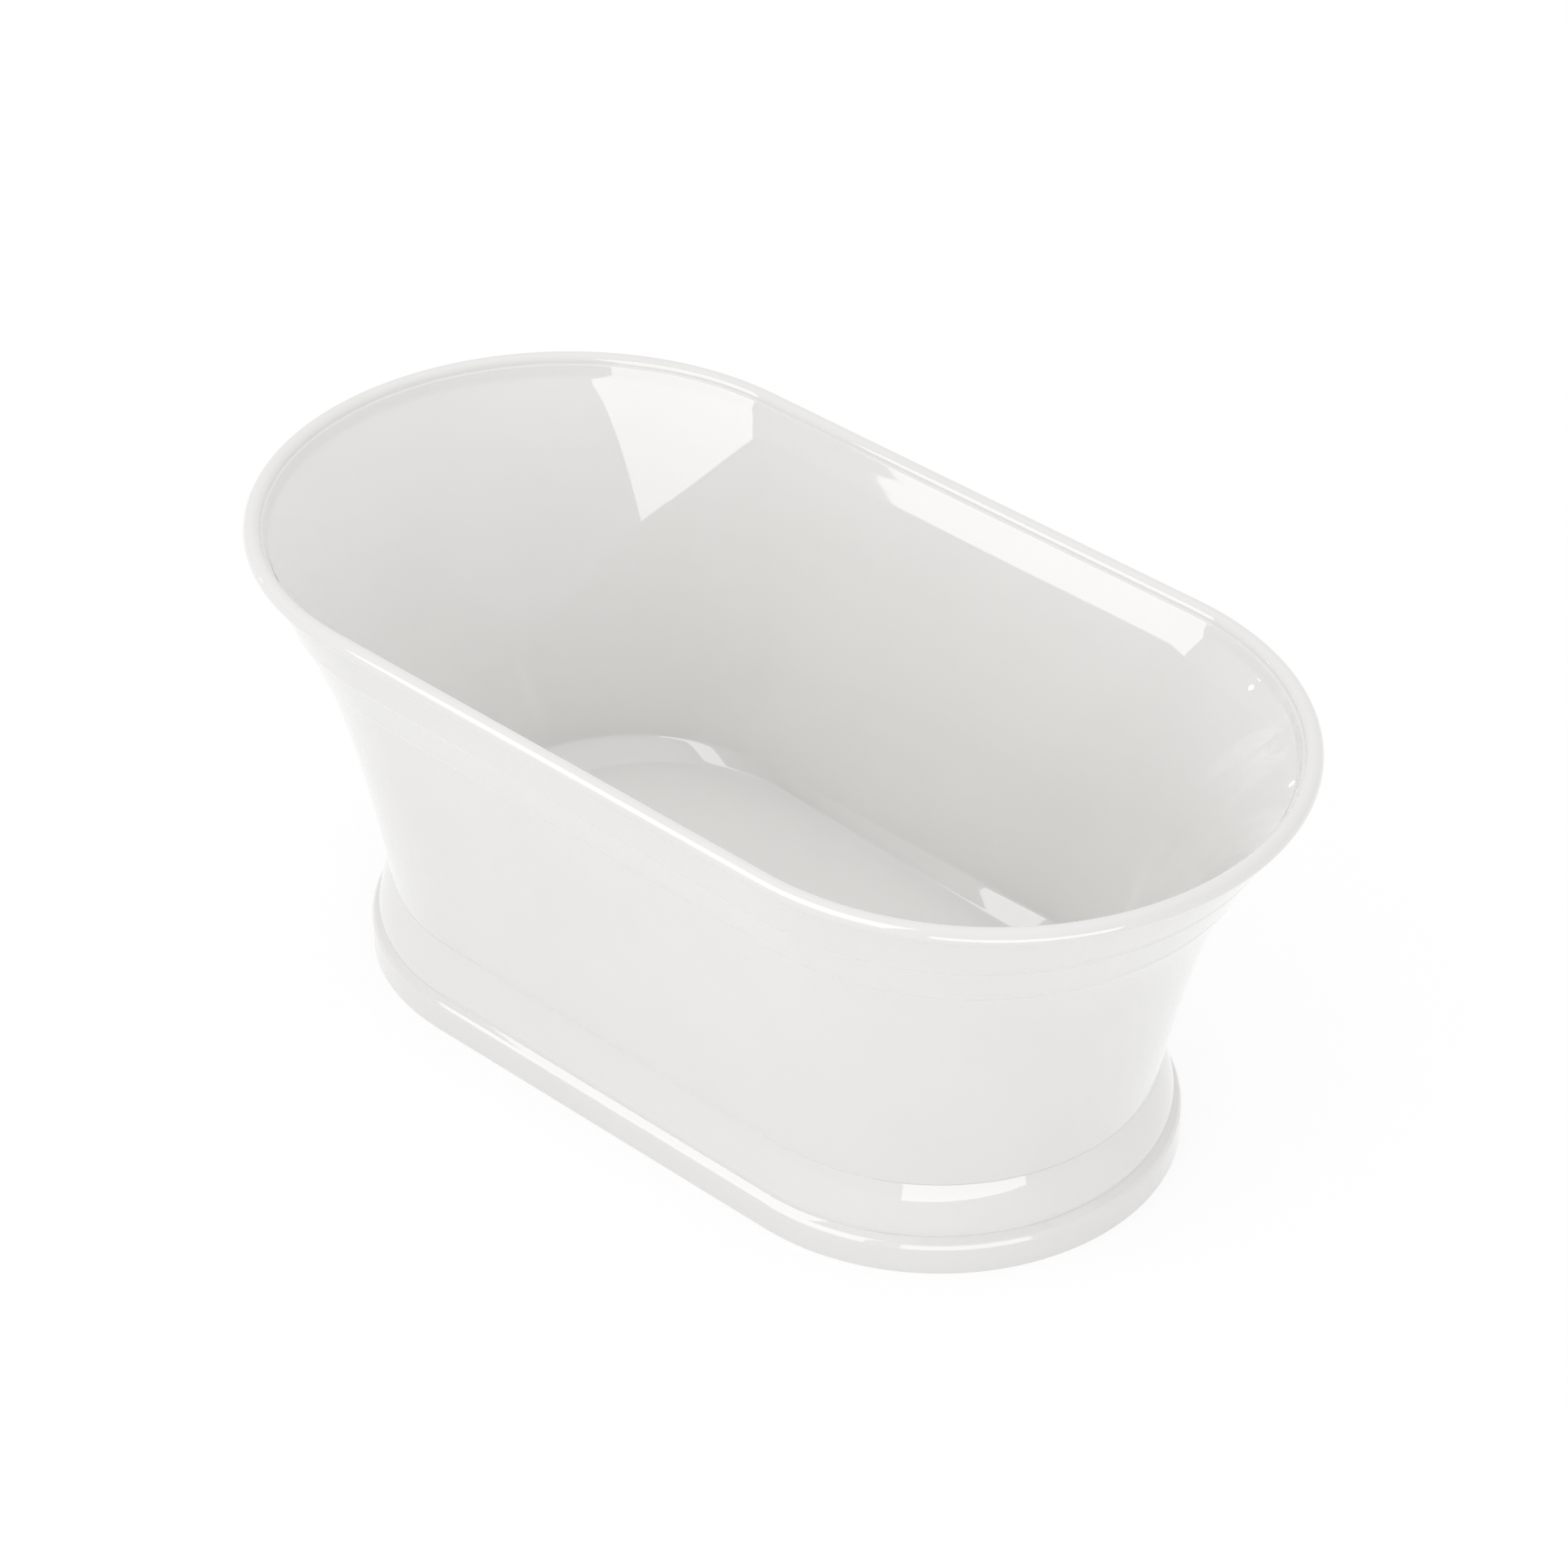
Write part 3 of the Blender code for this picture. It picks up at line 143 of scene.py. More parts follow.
CAP_RADIUS, CAP_LOW, CAP_HEIGHT = 31.5 * MM, 3 * MM, 6 * MM
CAP_BOSS, CAP_STEP, CAP_BOSS_LOW = 6.2 * MM, 10.2 * MM, -4.2 * MM
CAP_SEAL_TOP = -0.2 * MM
STEM_SOCKET, STEM_TOP = 2.8 * MM, 5.7 * MM
BODY_TOP, BODY_LENGTH, BODY_COLLAR = -12.1 * MM, 58 * MM, 37 * MM
BODY_BORE, BODY_RADIUS = 22.8 * MM, 27.5 * MM
TAIL_RADIUS, TAIL_BORE, TAIL_LENGTH = 23.9 * MM, 19.0 * MM, 20 * MM
INLET_DROP, INLET_REACH = 50 * MM, 52 * MM

# Overflow, its elbow and its hose
OVERFLOW_DROP = 130 * MM
OVERFLOW_HOLE = 20 * MM
PAD_RADIUS, PAD_PROUD, PAD_BACK, PAD_SOFT = 36 * MM, 3.2 * MM, 0.6 * MM, 1.2 * MM
COVER_RADIUS, COVER_LOW, COVER_HEIGHT, COVER_WALL = 32 * MM, 5.3 * MM, 7.5 * MM, 2 * MM
COVER_HOLES, COVER_HOLE, COVER_HOLE_CIRCLE = 6, 4.5 * MM, 16.5 * MM
SCREW_SHANK, SCREW_HEAD, SCREW_HEAD_HEIGHT = 2 * MM, 4.2 * MM, 2.2 * MM
SCREW_REACH = -12 * MM
ELBOW_TOP, ELBOW_DEPTH = -9.2 * MM, 20.5 * MM
ELBOW_FLANGE, ELBOW_RADIUS, ELBOW_WALL = 29 * MM, 19.5 * MM, 2 * MM
ELBOW_LIP, ELBOW_CHAMFER = 2.5 * MM, 8.5 * MM
ELBOW_BOSS = 4.5 * MM
SPIGOT_RADIUS, SPIGOT_BORE, SPIGOT_REACH, SPIGOT_FALL = 9.5 * MM, 6.5 * MM, 45 * MM, 41.4 * MM
HOSE_RADIUS, HOSE_WALL, HOSE_GAP = 8.5 * MM, 1.5 * MM, 0.8 * MM
HOSE_LEAD, HOSE_TAIL = 20 * MM, 22 * MM
HOSE_TURN_RISE, HOSE_TURN_FALL, HOSE_TURN_IN = 35 * MM, 45 * MM, 8 * MM
HOSE_SAG, HOSE_SAG_RISE, HOSE_ARRIVAL_RISE = 34 * MM, 10 * MM, 1 * MM
HOSE_RIDGE, HOSE_PITCH = 0.7 * MM, 3.2 * MM
HOSE_NUT, HOSE_NUT_REACH, HOSE_NUT_TOP = 13 * MM, 13 * MM, 4 * MM

# Levelling feet and the screws of their bars
STUD_RADIUS, STUD_BORE, STUD_PITCH, THREAD_DEPTH = 6 * MM, 6.3 * MM, 1.75 * MM, 0.9 * MM
NUT_FLATS, NUT_HEIGHT = 9.5 * MM, 8 * MM
NUT_FACE, NUT_BEVEL, NUT_SINK = 0.96, 0.9 * MM, 0.7 * MM
PAD_SOLE, PAD_HEIGHT, PAD_SHOULDER = 7 * MM, 18 * MM, 10 * MM
PAD_SKIRT, PAD_NECK_TOP, PAD_NECK_LOW = 13.7 * MM, 4 * MM, 6 * MM
BOARD_SCREW, BOARD_SCREW_HEAD, BOARD_SCREW_RISE = 2 * MM, 4.2 * MM, 2.6 * MM
BOARD_SCREW_LENGTH, BOARD_SCREW_TIP = 15 * MM, 3 * MM

# How finely the skins, the hose's ridges and the thread are drawn, and how much of each
# side of a corner its round may take
ARC_POINTS, SIDE_POINTS = 120, 16
WALL_RINGS, FIRST_WALL_RING, BODY_RINGS = 72, 3, 48
HOSE_ROWS, HOSE_PLAIN_ROWS, THREAD_ROWS = 6, 12, 6
ROUND_REACH = 0.45


def mix(start, end, share):
    return start + (end - start) * share


def blend_points(first, second, share):
    return tuple(mix(a, b, share) for a, b in zip(first, second))


def bezier(points, share):
    while len(points) > 1:
        points = [blend_points(a, b, share) for a, b in zip(points, points[1:])]
    return points[0]


def per(millimetres):
    """How many times a feature of that size fits into a metre."""
    return 1 / (millimetres * MM)


# ---------------------------------------------------------------------------------------
# Materials
# ---------------------------------------------------------------------------------------


def colour(hexadecimal):
    """An sRGB hex value as a linear colour."""
    values = [int(hexadecimal[i : i + 2], 16) / 255 for i in (1, 3, 5)]
    return (*(v / 12.92 if v <= 0.04045 else ((v + 0.055) / 1.055) ** 2.4 for v in values), 1.0)


def add_node(tree, kind, values=None, links=None, **settings):
    """A shader node with its settings, its sockets' values and its links in."""
    made = tree.nodes.new("ShaderNode" + kind)
    for name, value in settings.items():
        setattr(made, name, value)
    for socket, value in (values or {}).items():
        made.inputs[socket].default_value = value
    for socket, source in (links or {}).items():
        tree.links.new(source, made.inputs[socket])
    return made


def new_material(name):
    """An empty material, its node tree, and the piece's own coordinates in metres."""
    material = bpy.data.materials.new(name)
    material.use_nodes = True
    tree = material.node_tree
    tree.nodes.clear()
    return material, tree, add_node(tree, "TexCoord").outputs["Object"]


def finish_with(tree, values, links):
    """The surface shader with those values and links, joined to the output."""
    shader = add_node(tree, "BsdfPrincipled", values, links)
    add_node(tree, "OutputMaterial", links={"Surface": shader.outputs["BSDF"]})


def two_tones(tree, share, dark, light):
    """A colour that goes from dark to light with the share."""
    return add_node(
        tree,
        "Mix",
        {"A": colour(dark), "B": colour(light)},
        {"Factor": share},
        data_type="RGBA",
    ).outputs["Result"]


def between(tree, share, low, high):
    """A number that goes from low to high with the share."""
    return add_node(tree, "MapRange", {3: low, 4: high}, {0: share}).outputs[0]


def grain(tree, place, size, detail=2.0, roughness=0.5):
    """Soft noise whose lumps are that many millimetres across."""
    values = {"Scale": per(size), "Detail": detail, "Roughness": roughness}
    return add_node(tree, "TexNoise", values, {"Vector": place}).outputs["Fac"]


def relief(tree, height, depth, under=None):
    """A bump that many millimetres deep, laid over another one if given."""
    links = {"Height": height}
    if under:
        links["Normal"] = under
    values = {"Strength": 1.0, "Distance": depth * MM}
    return add_node(tree, "Bump", values, links).outputs["Normal"]


def white_gloss_acrylic():
    """Cast acrylic sheet, vacuum formed and left glossy: a deep, slightly warm white whose
    reflections are crisp, and drift a little where the hot sheet was stretched."""
    material, tree, place = new_material("white_gloss_acrylic")
    stretch = grain(tree, place, 140, 1.0)
    haze = grain(tree, place, 22, 3.0)
    polish = grain(tree, place, 2.5, 2.0)
    tone = two_tones(tree, stretch, "#efeeec", "#f3f2f0")
    gloss = between(tree, haze, 0.035, 0.055)
    drift = relief(tree, stretch, 0.03)
    normal = relief(tree, polish, 0.0002, drift)
    values = {"IOR": 1.49, "Coat Weight": 1.0, "Coat Roughness": 0.015}
    links = {"Base Color": tone, "Roughness": gloss, "Normal": normal, "Coat Normal": drift}
    finish_with(tree, values, links)
    return material


def glass_fibre_backing():
    """Polyester resin sprayed with chopped glass strands and rolled down behind the acrylic:
    a dull, greyish cream with crossing strands that stand a little proud."""
    material, tree, place = new_material("glass_fibre_backing")
    strands = None
    for turn, long, thin in ((0.4, 38, 1.6), (1.5, 45, 1.8), (2.6, 40, 1.5)):
        values = {"Rotation": (turn, 0.7 * turn, turn), "Scale": (per(long), per(thin), per(thin))}
        lie = add_node(tree, "Mapping", values, {"Vector": place}).outputs["Vector"]
        values = {"Scale": 1.0, "Detail": 1.0}
        layer = add_node(tree, "TexNoise", values, {"Vector": lie}).outputs["Fac"]
        if strands:
            links = {0: strands, 1: layer}
            layer = add_node(tree, "Math", links=links, operation="MAXIMUM").outputs[0]
        strands = layer
    proud = between(tree, strands, -1.6, 2.2)
    tone = two_tones(tree, proud, "#b7b2a1", "#d9d5c8")
    gloss = between(tree, proud, 0.62, 0.42)
    links = {"Base Color": tone, "Roughness": gloss, "Normal": relief(tree, strands, 0.5)}
    finish_with(tree, {"IOR": 1.54}, links)
    return material


def pressed_chipboard():
    """Wood chips pressed with resin and cut to shape: flakes of several browns, matt and
    slightly rough to the touch."""
    material, tree, place = new_material("pressed_chipboard")
    squash = add_node(tree, "Mapping", {"Scale": (1.0, 1.6, 2.6)}, {"Vector": place})
    squash = squash.outputs["Vector"]
    chips = add_node(tree, "TexVoronoi", {"Scale": per(5)}, {"Vector": squash})
    flake = add_node(tree, "SeparateColor", links={"Color": chips.outputs["Color"]}).outputs["Red"]
    fibre = grain(tree, squash, 1.2, 4.0)
    shade = add_node(tree, "Math", {1: 0.35}, {0: fibre}, operation="MULTIPLY").outputs[0]
    shade = add_node(tree, "Math", {1: 0.65}, {0: flake, 2: shade}, operation="MULTIPLY_ADD")
    tone = two_tones(tree, shade.outputs[0], "#8d6f49", "#cdb085")
    links = {"Base Color": tone, "Normal": relief(tree, flake, 0.15)}
    finish_with(tree, {"Roughness": 0.82, "IOR": 1.5}, links)
    return material


def zinc_plated_steel():
    """Rolled steel, pressed and then zinc plated: a bluish grey metal, satin, with faint
    cloudy patches where the plating took differently."""
    material, tree, place = new_material("zinc_plated_steel")
    cells = add_node(tree, "TexVoronoi", {"Scale": per(9)}, {"Vector": place})
    patch = add_node(tree, "SeparateColor", links={"Color": cells.outputs["Color"]})
    cloud = grain(tree, place, 16, 3.0)
    links = {0: patch.outputs["Green"], 1: cloud}
    mottle = add_node(tree, "Math", links=links, operation="MULTIPLY").outputs[0]
    tone = two_tones(tree, mottle, "#a9aeb3", "#c6cace")
    gloss = between(tree, mottle, 0.40, 0.28)
    normal = relief(tree, grain(tree, place, 0.8), 0.01)
    finish_with(tree, {"Metallic": 1.0}, {"Base Color": tone, "Roughness": gloss, "Normal": normal})
    return material


def black_moulded_nylon():
    """Glass-filled nylon from a spark-eroded mould: soft black with a fine pebble grain."""
    material, tree, place = new_material("black_moulded_nylon")
    pebble = grain(tree, place, 0.7, 1.0)
    tone = two_tones(tree, grain(tree, place, 9), "#161719", "#212326")
    gloss = between(tree, pebble, 0.42, 0.58)
    links = {"Base Color": tone, "Roughness": gloss, "Normal": relief(tree, pebble, 0.03)}
    finish_with(tree, {"IOR": 1.53}, links)
    return material


def polished_chrome():
    """Bright chromium over nickel on polished brass: a cool mirror, with the faintest haze
    from wiping."""
    material, tree, place = new_material("polished_chrome")
    wipe = add_node(tree, "Mapping", {"Scale": (1.0, 6.0, 1.0)}, {"Vector": place})
    haze = grain(tree, wipe.outputs["Vector"], 8, 4.0)
    tone = two_tones(tree, haze, "#cfd1d3", "#dadbdd")
    gloss = between(tree, haze, 0.03, 0.09)
    normal = relief(tree, grain(tree, place, 6), 0.003)
    finish_with(tree, {"Metallic": 1.0}, {"Base Color": tone, "Roughness": gloss, "Normal": normal})
    return material


def turned_brass():
    """Free-cutting brass bar, turned and left bare: warm yellow metal with the fine rings
    of the tool, drawn 0.4 mm apart so that they show."""
    material, tree, place = new_material("turned_brass")
    low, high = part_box("plug_cartridge")
    centre = -(low + high) / 2
    axis = add_node(tree, "Mapping", {"Location": centre}, {"Vector": place})
    # A ring texture of scale 1 repeats 20 / tau times in each metre.
    rings = add_node(
        tree,
        "TexWave",
        {"Scale": per(0.4) * math.tau / 20, "Distortion": 0.4, "Detail": 1.0},
        {"Vector": axis.outputs["Vector"]},
        wave_type="RINGS",
        rings_direction="SPHERICAL",
    ).outputs["Fac"]
    tarnish = grain(tree, place, 4, 3.0)
    tone = two_tones(tree, tarnish, "#c19a4b", "#d9ba74")
    gloss = between(tree, rings, 0.20, 0.32)
    links = {"Base Color": tone, "Roughness": gloss, "Normal": relief(tree, rings, 0.008)}
    finish_with(tree, {"Metallic": 1.0}, links)
    return material


def black_rubber():
    """Moulded EPDM rubber: nearly black and matt, with a dusty bloom in patches."""
    material, tree, place = new_material("black_rubber")
    bloom = grain(tree, place, 5, 4.0)
    tone = two_tones(tree, bloom, "#131314", "#262627")
    gloss = between(tree, bloom, 0.62, 0.80)
    normal = relief(tree, grain(tree, place, 0.5), 0.02)
    links = {"Base Color": tone, "Roughness": gloss, "Normal": normal}
    finish_with(tree, {"IOR": 1.5}, links)
    return material


def white_polypropylene():
    """Injection-moulded polypropylene: a slightly waxy, milky white, satin, with soft flow
    marks from the mould."""
    material, tree, place = new_material("white_polypropylene")
    flow = grain(tree, place, 12, 2.0)
    pebble = grain(tree, place, 0.6, 1.0)
    tone = two_tones(tree, flow, "#dcdcd8", "#e6e6e2")
    gloss = between(tree, flow, 0.30, 0.42)
    links = {"Base Color": tone, "Roughness": gloss, "Normal": relief(tree, pebble, 0.008)}
    finish_with(tree, {"IOR": 1.49}, links)
    return material


acrylic = white_gloss_acrylic()
fibre_backing = glass_fibre_backing()
FINISHES = {
    "white_acrylic": acrylic,
    "chipboard": pressed_chipboard(),
    "zinc_steel": zinc_plated_steel(),
    "black_plastic": black_moulded_nylon(),
    "chrome": polished_chrome(),
    "brass": turned_brass(),
    "rubber": black_rubber(),
    "white_plastic": white_polypropylene(),
}

for node in frame["nodes"].values():
    for material_slot in node.material_slots:
        material_slot.material = FINISHES[material_slot.material.name.split(".")[0]]

# ---------------------------------------------------------------------------------------
# Ways of making a mesh
# ---------------------------------------------------------------------------------------


def smooth(mesh, crease=32):
    """Shades a mesh smooth, but crisp along edges that turn more than the crease, in degrees."""
    mesh.shade_smooth()
    mesh.set_sharp_from_angle(angle=math.radians(crease))
    return mesh


def rounded(points, radii, steps=6):
    """The line through the points, with each corner that has a radius made a soft curve."""
    line = [points[0]]
    for i in range(1, len(points) - 1):
        radius = radii.get(i, 0)
        if not radius:
            line.append(points[i])
            continue
        before, corner, after = (Vector(points[j]) for j in (i - 1, i, i + 1))
        start, end = (
            corner + side.normalized() * min(radius, side.length * ROUND_REACH)
            for side in (before - corner, after - corner)
        )
        for step in range(steps + 1):
            share = step / steps
            line.append(tuple(start.lerp(corner, share).lerp(corner.lerp(end, share), share)))
    line.append(points[-1])
    return line


def lathe(profile, steps=96, closed=False, lobes=0, lobe_depth=0.0, lobed=()):
    """A profile of (radius, height) points, down its outer side, turned about Z. The points
    whose numbers are in lobed have finger grips pressed into them."""
    points, rows, faces = [], [], []
    for number, (radius, height) in enumerate(profile):
        turns = [math.tau * i / steps for i in range(steps if radius else 1)]
        rows.append(range(len(points), len(points) + len(turns)))
        for turn in turns:
            dip = lobe_depth * (0.5 + 0.5 * math.cos(lobes * turn)) if number in lobed else 0.0
            reach = radius - dip
            points.append((reach * math.cos(turn), reach * math.sin(turn), height))
    pairs = list(zip(rows, rows[1:]))
    if closed:
        pairs.append((rows[-1], rows[0]))
    for upper, lower in pairs:
        for i in range(steps):
            j = (i + 1) % steps
            ends = [upper[i % len(upper)], lower[i % len(lower)]]
            ends += [lower[j % len(lower)], upper[j % len(upper)]]
            corners = list(dict.fromkeys(ends))
            if len(corners) > 2:
                faces.append(corners)
    mesh = bpy.data.meshes.new("turned")
    mesh.from_pydata(points, [], faces)
    return smooth(mesh)


def cylinder(radius, low, high, steps=48):
    return lathe([(0, high), (radius, high), (radius, low), (0, low)], steps)


def bar(length, width, low, high):
    """A square-edged bar along X, centred on Z."""
    shape = bmesh.new()
    size = Matrix.Diagonal((length, width, high - low, 1.0))
    bmesh.ops.create_cube(shape, matrix=Matrix.Translation((0, 0, (low + high) / 2)) @ size)
    mesh = bpy.data.meshes.new("bar")
    shape.to_mesh(mesh)
    shape.free()
    return mesh


def worked(mesh, cuts=(), thickness=None):
    """The mesh made solid if it is a skin, then joined with or cut by each tool in turn.
    Each cut is (operation, tool, place)."""
    scene = bpy.context.scene.collection.objects
    blank = bpy.data.objects.new("blank", mesh)
    scene.link(blank)
    if thickness:
        thicken = blank.modifiers.new("skin", "SOLIDIFY")
        thicken.thickness = thickness
        thicken.offset = -1
        thicken.use_even_offset = True
        thicken.material_offset = 1
        thicken.material_offset_rim = 1
    tools = []
    for operation, tool_mesh, place in cuts:
        tool = bpy.data.objects.new("tool", tool_mesh)
        tool.matrix_world = place
        scene.link(tool)
        tools.append(tool)
        step = blank.modifiers.new("cut", "BOOLEAN")
        step.operation = operation
        step.object = tool
    bpy.context.view_layer.update()
    graph = bpy.context.evaluated_depsgraph_get()
    result = bpy.data.meshes.new_from_object(blank.evaluated_get(graph))
    for used in (blank, *tools):
        bpy.data.objects.remove(used)
    return smooth(result)


def fit(name, mesh, finish, body, *nodes, place=LEVEL):
    """Fits a mesh in place as the piece that rides on that body and stands for those nodes."""
    mesh.name = name
    piece = bpy.data.objects.new(name, mesh)
    piece.matrix_world = place
    bpy.context.scene.collection.objects.link(piece)
    if not mesh.materials:
        mesh.materials.append(FINISHES[finish])
    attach(piece, body)
    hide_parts(*nodes)
    return piece


# ---------------------------------------------------------------------------------------
# Skins: rings of points round the bath, each at its own inset and height
# ---------------------------------------------------------------------------------------


def two_ends(back, back_radius, front, front_radius):
    """Points round two circles on the X axis and along the lines that touch them both."""
    tilt = math.asin((back_radius - front_radius) / (front - back))
    quarter = math.pi / 2
    arcs = []
    for centre, radius, start, end in (
        (front, front_radius, -quarter + tilt, quarter - tilt),
        (back, back_radius, quarter - tilt, 3 * quarter + tilt),
    ):
        turns = [mix(start, end, i / ARC_POINTS) for i in range(ARC_POINTS + 1)]
        arcs.append([(centre + radius * math.cos(t), radius * math.sin(t)) for t in turns])
    points = []
    for arc, following in ((arcs[0], arcs[1]), (arcs[1], arcs[0])):
        points += arc
        shares = [i / SIDE_POINTS for i in range(1, SIDE_POINTS)]
        points += [blend_points(arc[-1], following[0], share) for share in shares]
    return points


def level(inset, end_inset, height):
    radius = WIDTH / 2 - inset
    centre = LENGTH / 2 - end_inset - radius
    return [Vector((x, y, height)) for x, y in two_ends(-centre, radius, centre, radius)]


def skin(rings, outwards, cap=False, cuts=()):
    """A skin through the rings: gloss acrylic in front and, SKIN behind it, its raw backing."""
    shape = bmesh.new()
    rows = [[shape.verts.new(point) for point in ring] for ring in rings]
    for upper, lower in zip(rows, rows[1:]):
        for i in range(len(upper)):
            j = (i + 1) % len(upper)
            shape.faces.new((upper[i], lower[i], lower[j], upper[j]))
    if cap:
        shape.faces.new(reversed(rows[-1]))
    if not outwards:
        bmesh.ops.reverse_faces(shape, faces=shape.faces)
    mesh = bpy.data.meshes.new("skin")
    shape.to_mesh(mesh)
    shape.free()
    mesh.materials.append(acrylic)
    mesh.materials.append(fibre_backing)
    return worked(mesh, cuts, SKIN)


def body_curve(share):
    """(side inset, end inset, height) down the outer skin, from its second step to the waist."""
    top = (STEP_2[0] + LEDGE_WIDTH, STEP_2[1] + LEDGE_WIDTH, HEIGHT - STEP_2[2])
    waist = (*WAIST, outer_low.z)
    bend = tuple(mix(a, b, s) for a, b, s in zip(top, waist, (BODY_LEAN, BODY_LEAN, BODY_BEND)))
    return bezier([top, bend, waist], share)


def wall_curve(share):
    """(side inset, end inset, height) down the basin's wall, from its lip to the floor step."""
    top = (LIP[0], LIP[0], HEIGHT - LIP[1])
    low = (*BASIN, BASIN_HEIGHT)
    first = tuple(mix(a, b, s) for a, b, s in zip(top, low, WALL_TOP))
    second = tuple(mix(a, b, s) for a, b, s in zip(top, low, WALL_LOW))
    return bezier([top, first, second, low], share)


def at_height(curve, height):
    """The point of a falling curve at that height, found by halving."""
    low, high = 0.0, 1.0
    for _ in range(40):
        middle = (low + high) / 2
        if curve(middle)[2] > height:
            low = middle
        else:
            high = middle
    return curve(low)


def floor_outline(shrink=0.0):
    """The two end circles of the basin floor, which narrows towards the waste."""
    half_length = LENGTH / 2 - BASIN[1]
    half_width = WIDTH / 2 - BASIN[0]
    back_radius = half_width - FLOOR_BACK_MARGIN
    front_radius = half_width - FLOOR_WASTE_MARGIN
    back = -half_length + FLOOR_BACK_INSET + back_radius
    front = half_length - FLOOR_WASTE_INSET - front_radius
    return back, back_radius - shrink, front, front_radius - shrink


def floor_ends():
    back, back_radius, front, front_radius = floor_outline()
    return back - back_radius, front + front_radius


def floor_height(x):
    """The height of the basin floor's upper face, which falls evenly along X."""
    back_end, front_end = floor_ends()
    return BASIN_HEIGHT - FLOOR_STEP - FLOOR_FALL * (x - back_end) / (front_end - back_end)


def on_floor(outline):
    return [Vector((x, y, floor_height(x))) for x, y in two_ends(*outline)]


def corner_rings(before, corner, after, lead, trail):
    """Rings that turn the corner softly, starting and ending that share of the way out."""
    rings = []
    for step in range(5):
        share = step / 4
        ring = []
        for a, b, c in zip(before, corner, after):
            start, end = b.lerp(a, lead), b.lerp(c, trail)
            ring.append(start.lerp(b, share).lerp(b.lerp(end, share), share))
        rings.append(ring)
    return rings


def waste_place():
    """The waste's axis: upright, with its origin on the floor's upper face."""
    x = floor_ends()[1] - WASTE_TO_FLOOR_END
    return Matrix.Translation((x, 0, floor_height(x)))


def overflow_place():
    """A frame on the front end's inner wall, its Z axis square to the wall and into the bath."""
    height = HEIGHT - OVERFLOW_DROP
    point = at_height(wall_curve, height)
    above = at_height(wall_curve, height + 10 * MM)
    below = at_height(wall_curve, height - 10 * MM)
    up_wall = Vector((below[1] - above[1], 0, above[2] - below[2])).normalized()
    across = Vector((0, 1, 0))
    inwards = up_wall.cross(across)
    if inwards.x > 0:
        inwards.negate()
        across.negate()
    turn = Matrix((up_wall, across, inwards)).transposed().to_4x4()
    return Matrix.Translation((LENGTH / 2 - point[1], 0, point[2])) @ turn


WASTE = waste_place()
OVERFLOW = overflow_place()


def basin_profile():
    """The rim's roll, the cove, bead and lip inside it, and the wall, as (insets, height)."""
    middle = HEIGHT - ROLL_RADIUS
    roll = []
    for i in range(ROLL_STEPS + 1):
        turn = math.radians(mix(ROLL_START, ROLL_END, i / ROLL_STEPS))
        inset = ROLL_RADIUS - ROLL_RADIUS * math.cos(turn)
        roll.append((inset, inset, middle + ROLL_RADIUS * math.sin(turn)))
    lip = [roll.pop()]
    lip += [(inset, inset, HEIGHT - drop) for inset, drop in (COVE, BEAD)]
    lip += [wall_curve(0), wall_curve(LIP_END)]
    cove = rounded(lip, {1: COVE_ROUND, 2: BEAD_ROUND, 3: LIP_ROUND})[:-1]
    shares = [i / WALL_RINGS for i in range(FIRST_WALL_RING, WALL_RINGS)]
    return roll + cove + [wall_curve(WALL_END * share) for share in shares]


def soft_edge(radius, low, high, round_by, steps=96):
    """A round tool whose cut ends in a soft edge at height 0, wider above it."""
    profile = [(0, high), (radius + 2 * round_by, high), (radius + 2 * round_by, 0.1 * round_by)]
    profile += [(radius + 1.1 * round_by, 0), (radius + 0.3 * round_by, -0.3 * round_by)]
    profile += [(radius, -1.1 * round_by), (radius, low), (0, low)]
    return lathe(profile, steps)


def make_basin():
    rings = [level(*ring) for ring in basin_profile()]
    foot_of_wall = level(*wall_curve(WALL_END))
    edge = on_floor(floor_outline())
    inside = on_floor(floor_outline(FLOOR_ROUND))
    rings += corner_rings(rings[-1], foot_of_wall, edge, *STEP_TOP)
    rings += [[a.lerp(b, share) for a, b in zip(foot_of_wall, edge)] for share in (0.35, 0.6, 0.85)]
    rings += corner_rings(foot_of_wall, edge, inside, *STEP_FOOT)
    rings.append(inside)

    boss = cylinder(WASTE_BOSS, -WASTE_BOSS_DEPTH, WELD - SKIN, 96)
    for face in boss.polygons:
        face.material_index = 1
    recess = soft_edge(WASTE_RECESS, -WASTE_RECESS_DEPTH, THROUGH, RECESS_SOFT)
    back = -SKIN - PAD_BACK
    rim = [(0, PAD_PROUD), (PAD_RADIUS, PAD_PROUD), (PAD_RADIUS, back), (0, back)]
    pad = lathe(rounded(rim, {1: PAD_SOFT}))
    cuts = [
        ("UNION", boss, WASTE),
        ("DIFFERENCE", recess, WASTE),
        ("DIFFERENCE", cylinder(WASTE_HOLE, -THROUGH, THROUGH, 96), WASTE),
        ("UNION", pad, OVERFLOW),
        ("DIFFERENCE", cylinder(OVERFLOW_HOLE, -THROUGH, THROUGH, 96), OVERFLOW),
    ]
    mesh = skin(rings, outwards=False, cap=True, cuts=cuts)
    fit("basin_skin", mesh, "white_acrylic", "bath", "inner_shell")


def ledge(inset, end_inset, drop):
    """The rounded lower edge of a fascia band, and the ledge that it stands proud by."""
    points = ((0.0, LEDGE_ROUND * 1.6), (LEDGE_ROUND * 0.3, LEDGE_ROUND * 0.5), (LEDGE_WIDTH, 0.0))
    return [(inset + inwards, end_inset + inwards, HEIGHT - drop + up) for inwards, up in points]


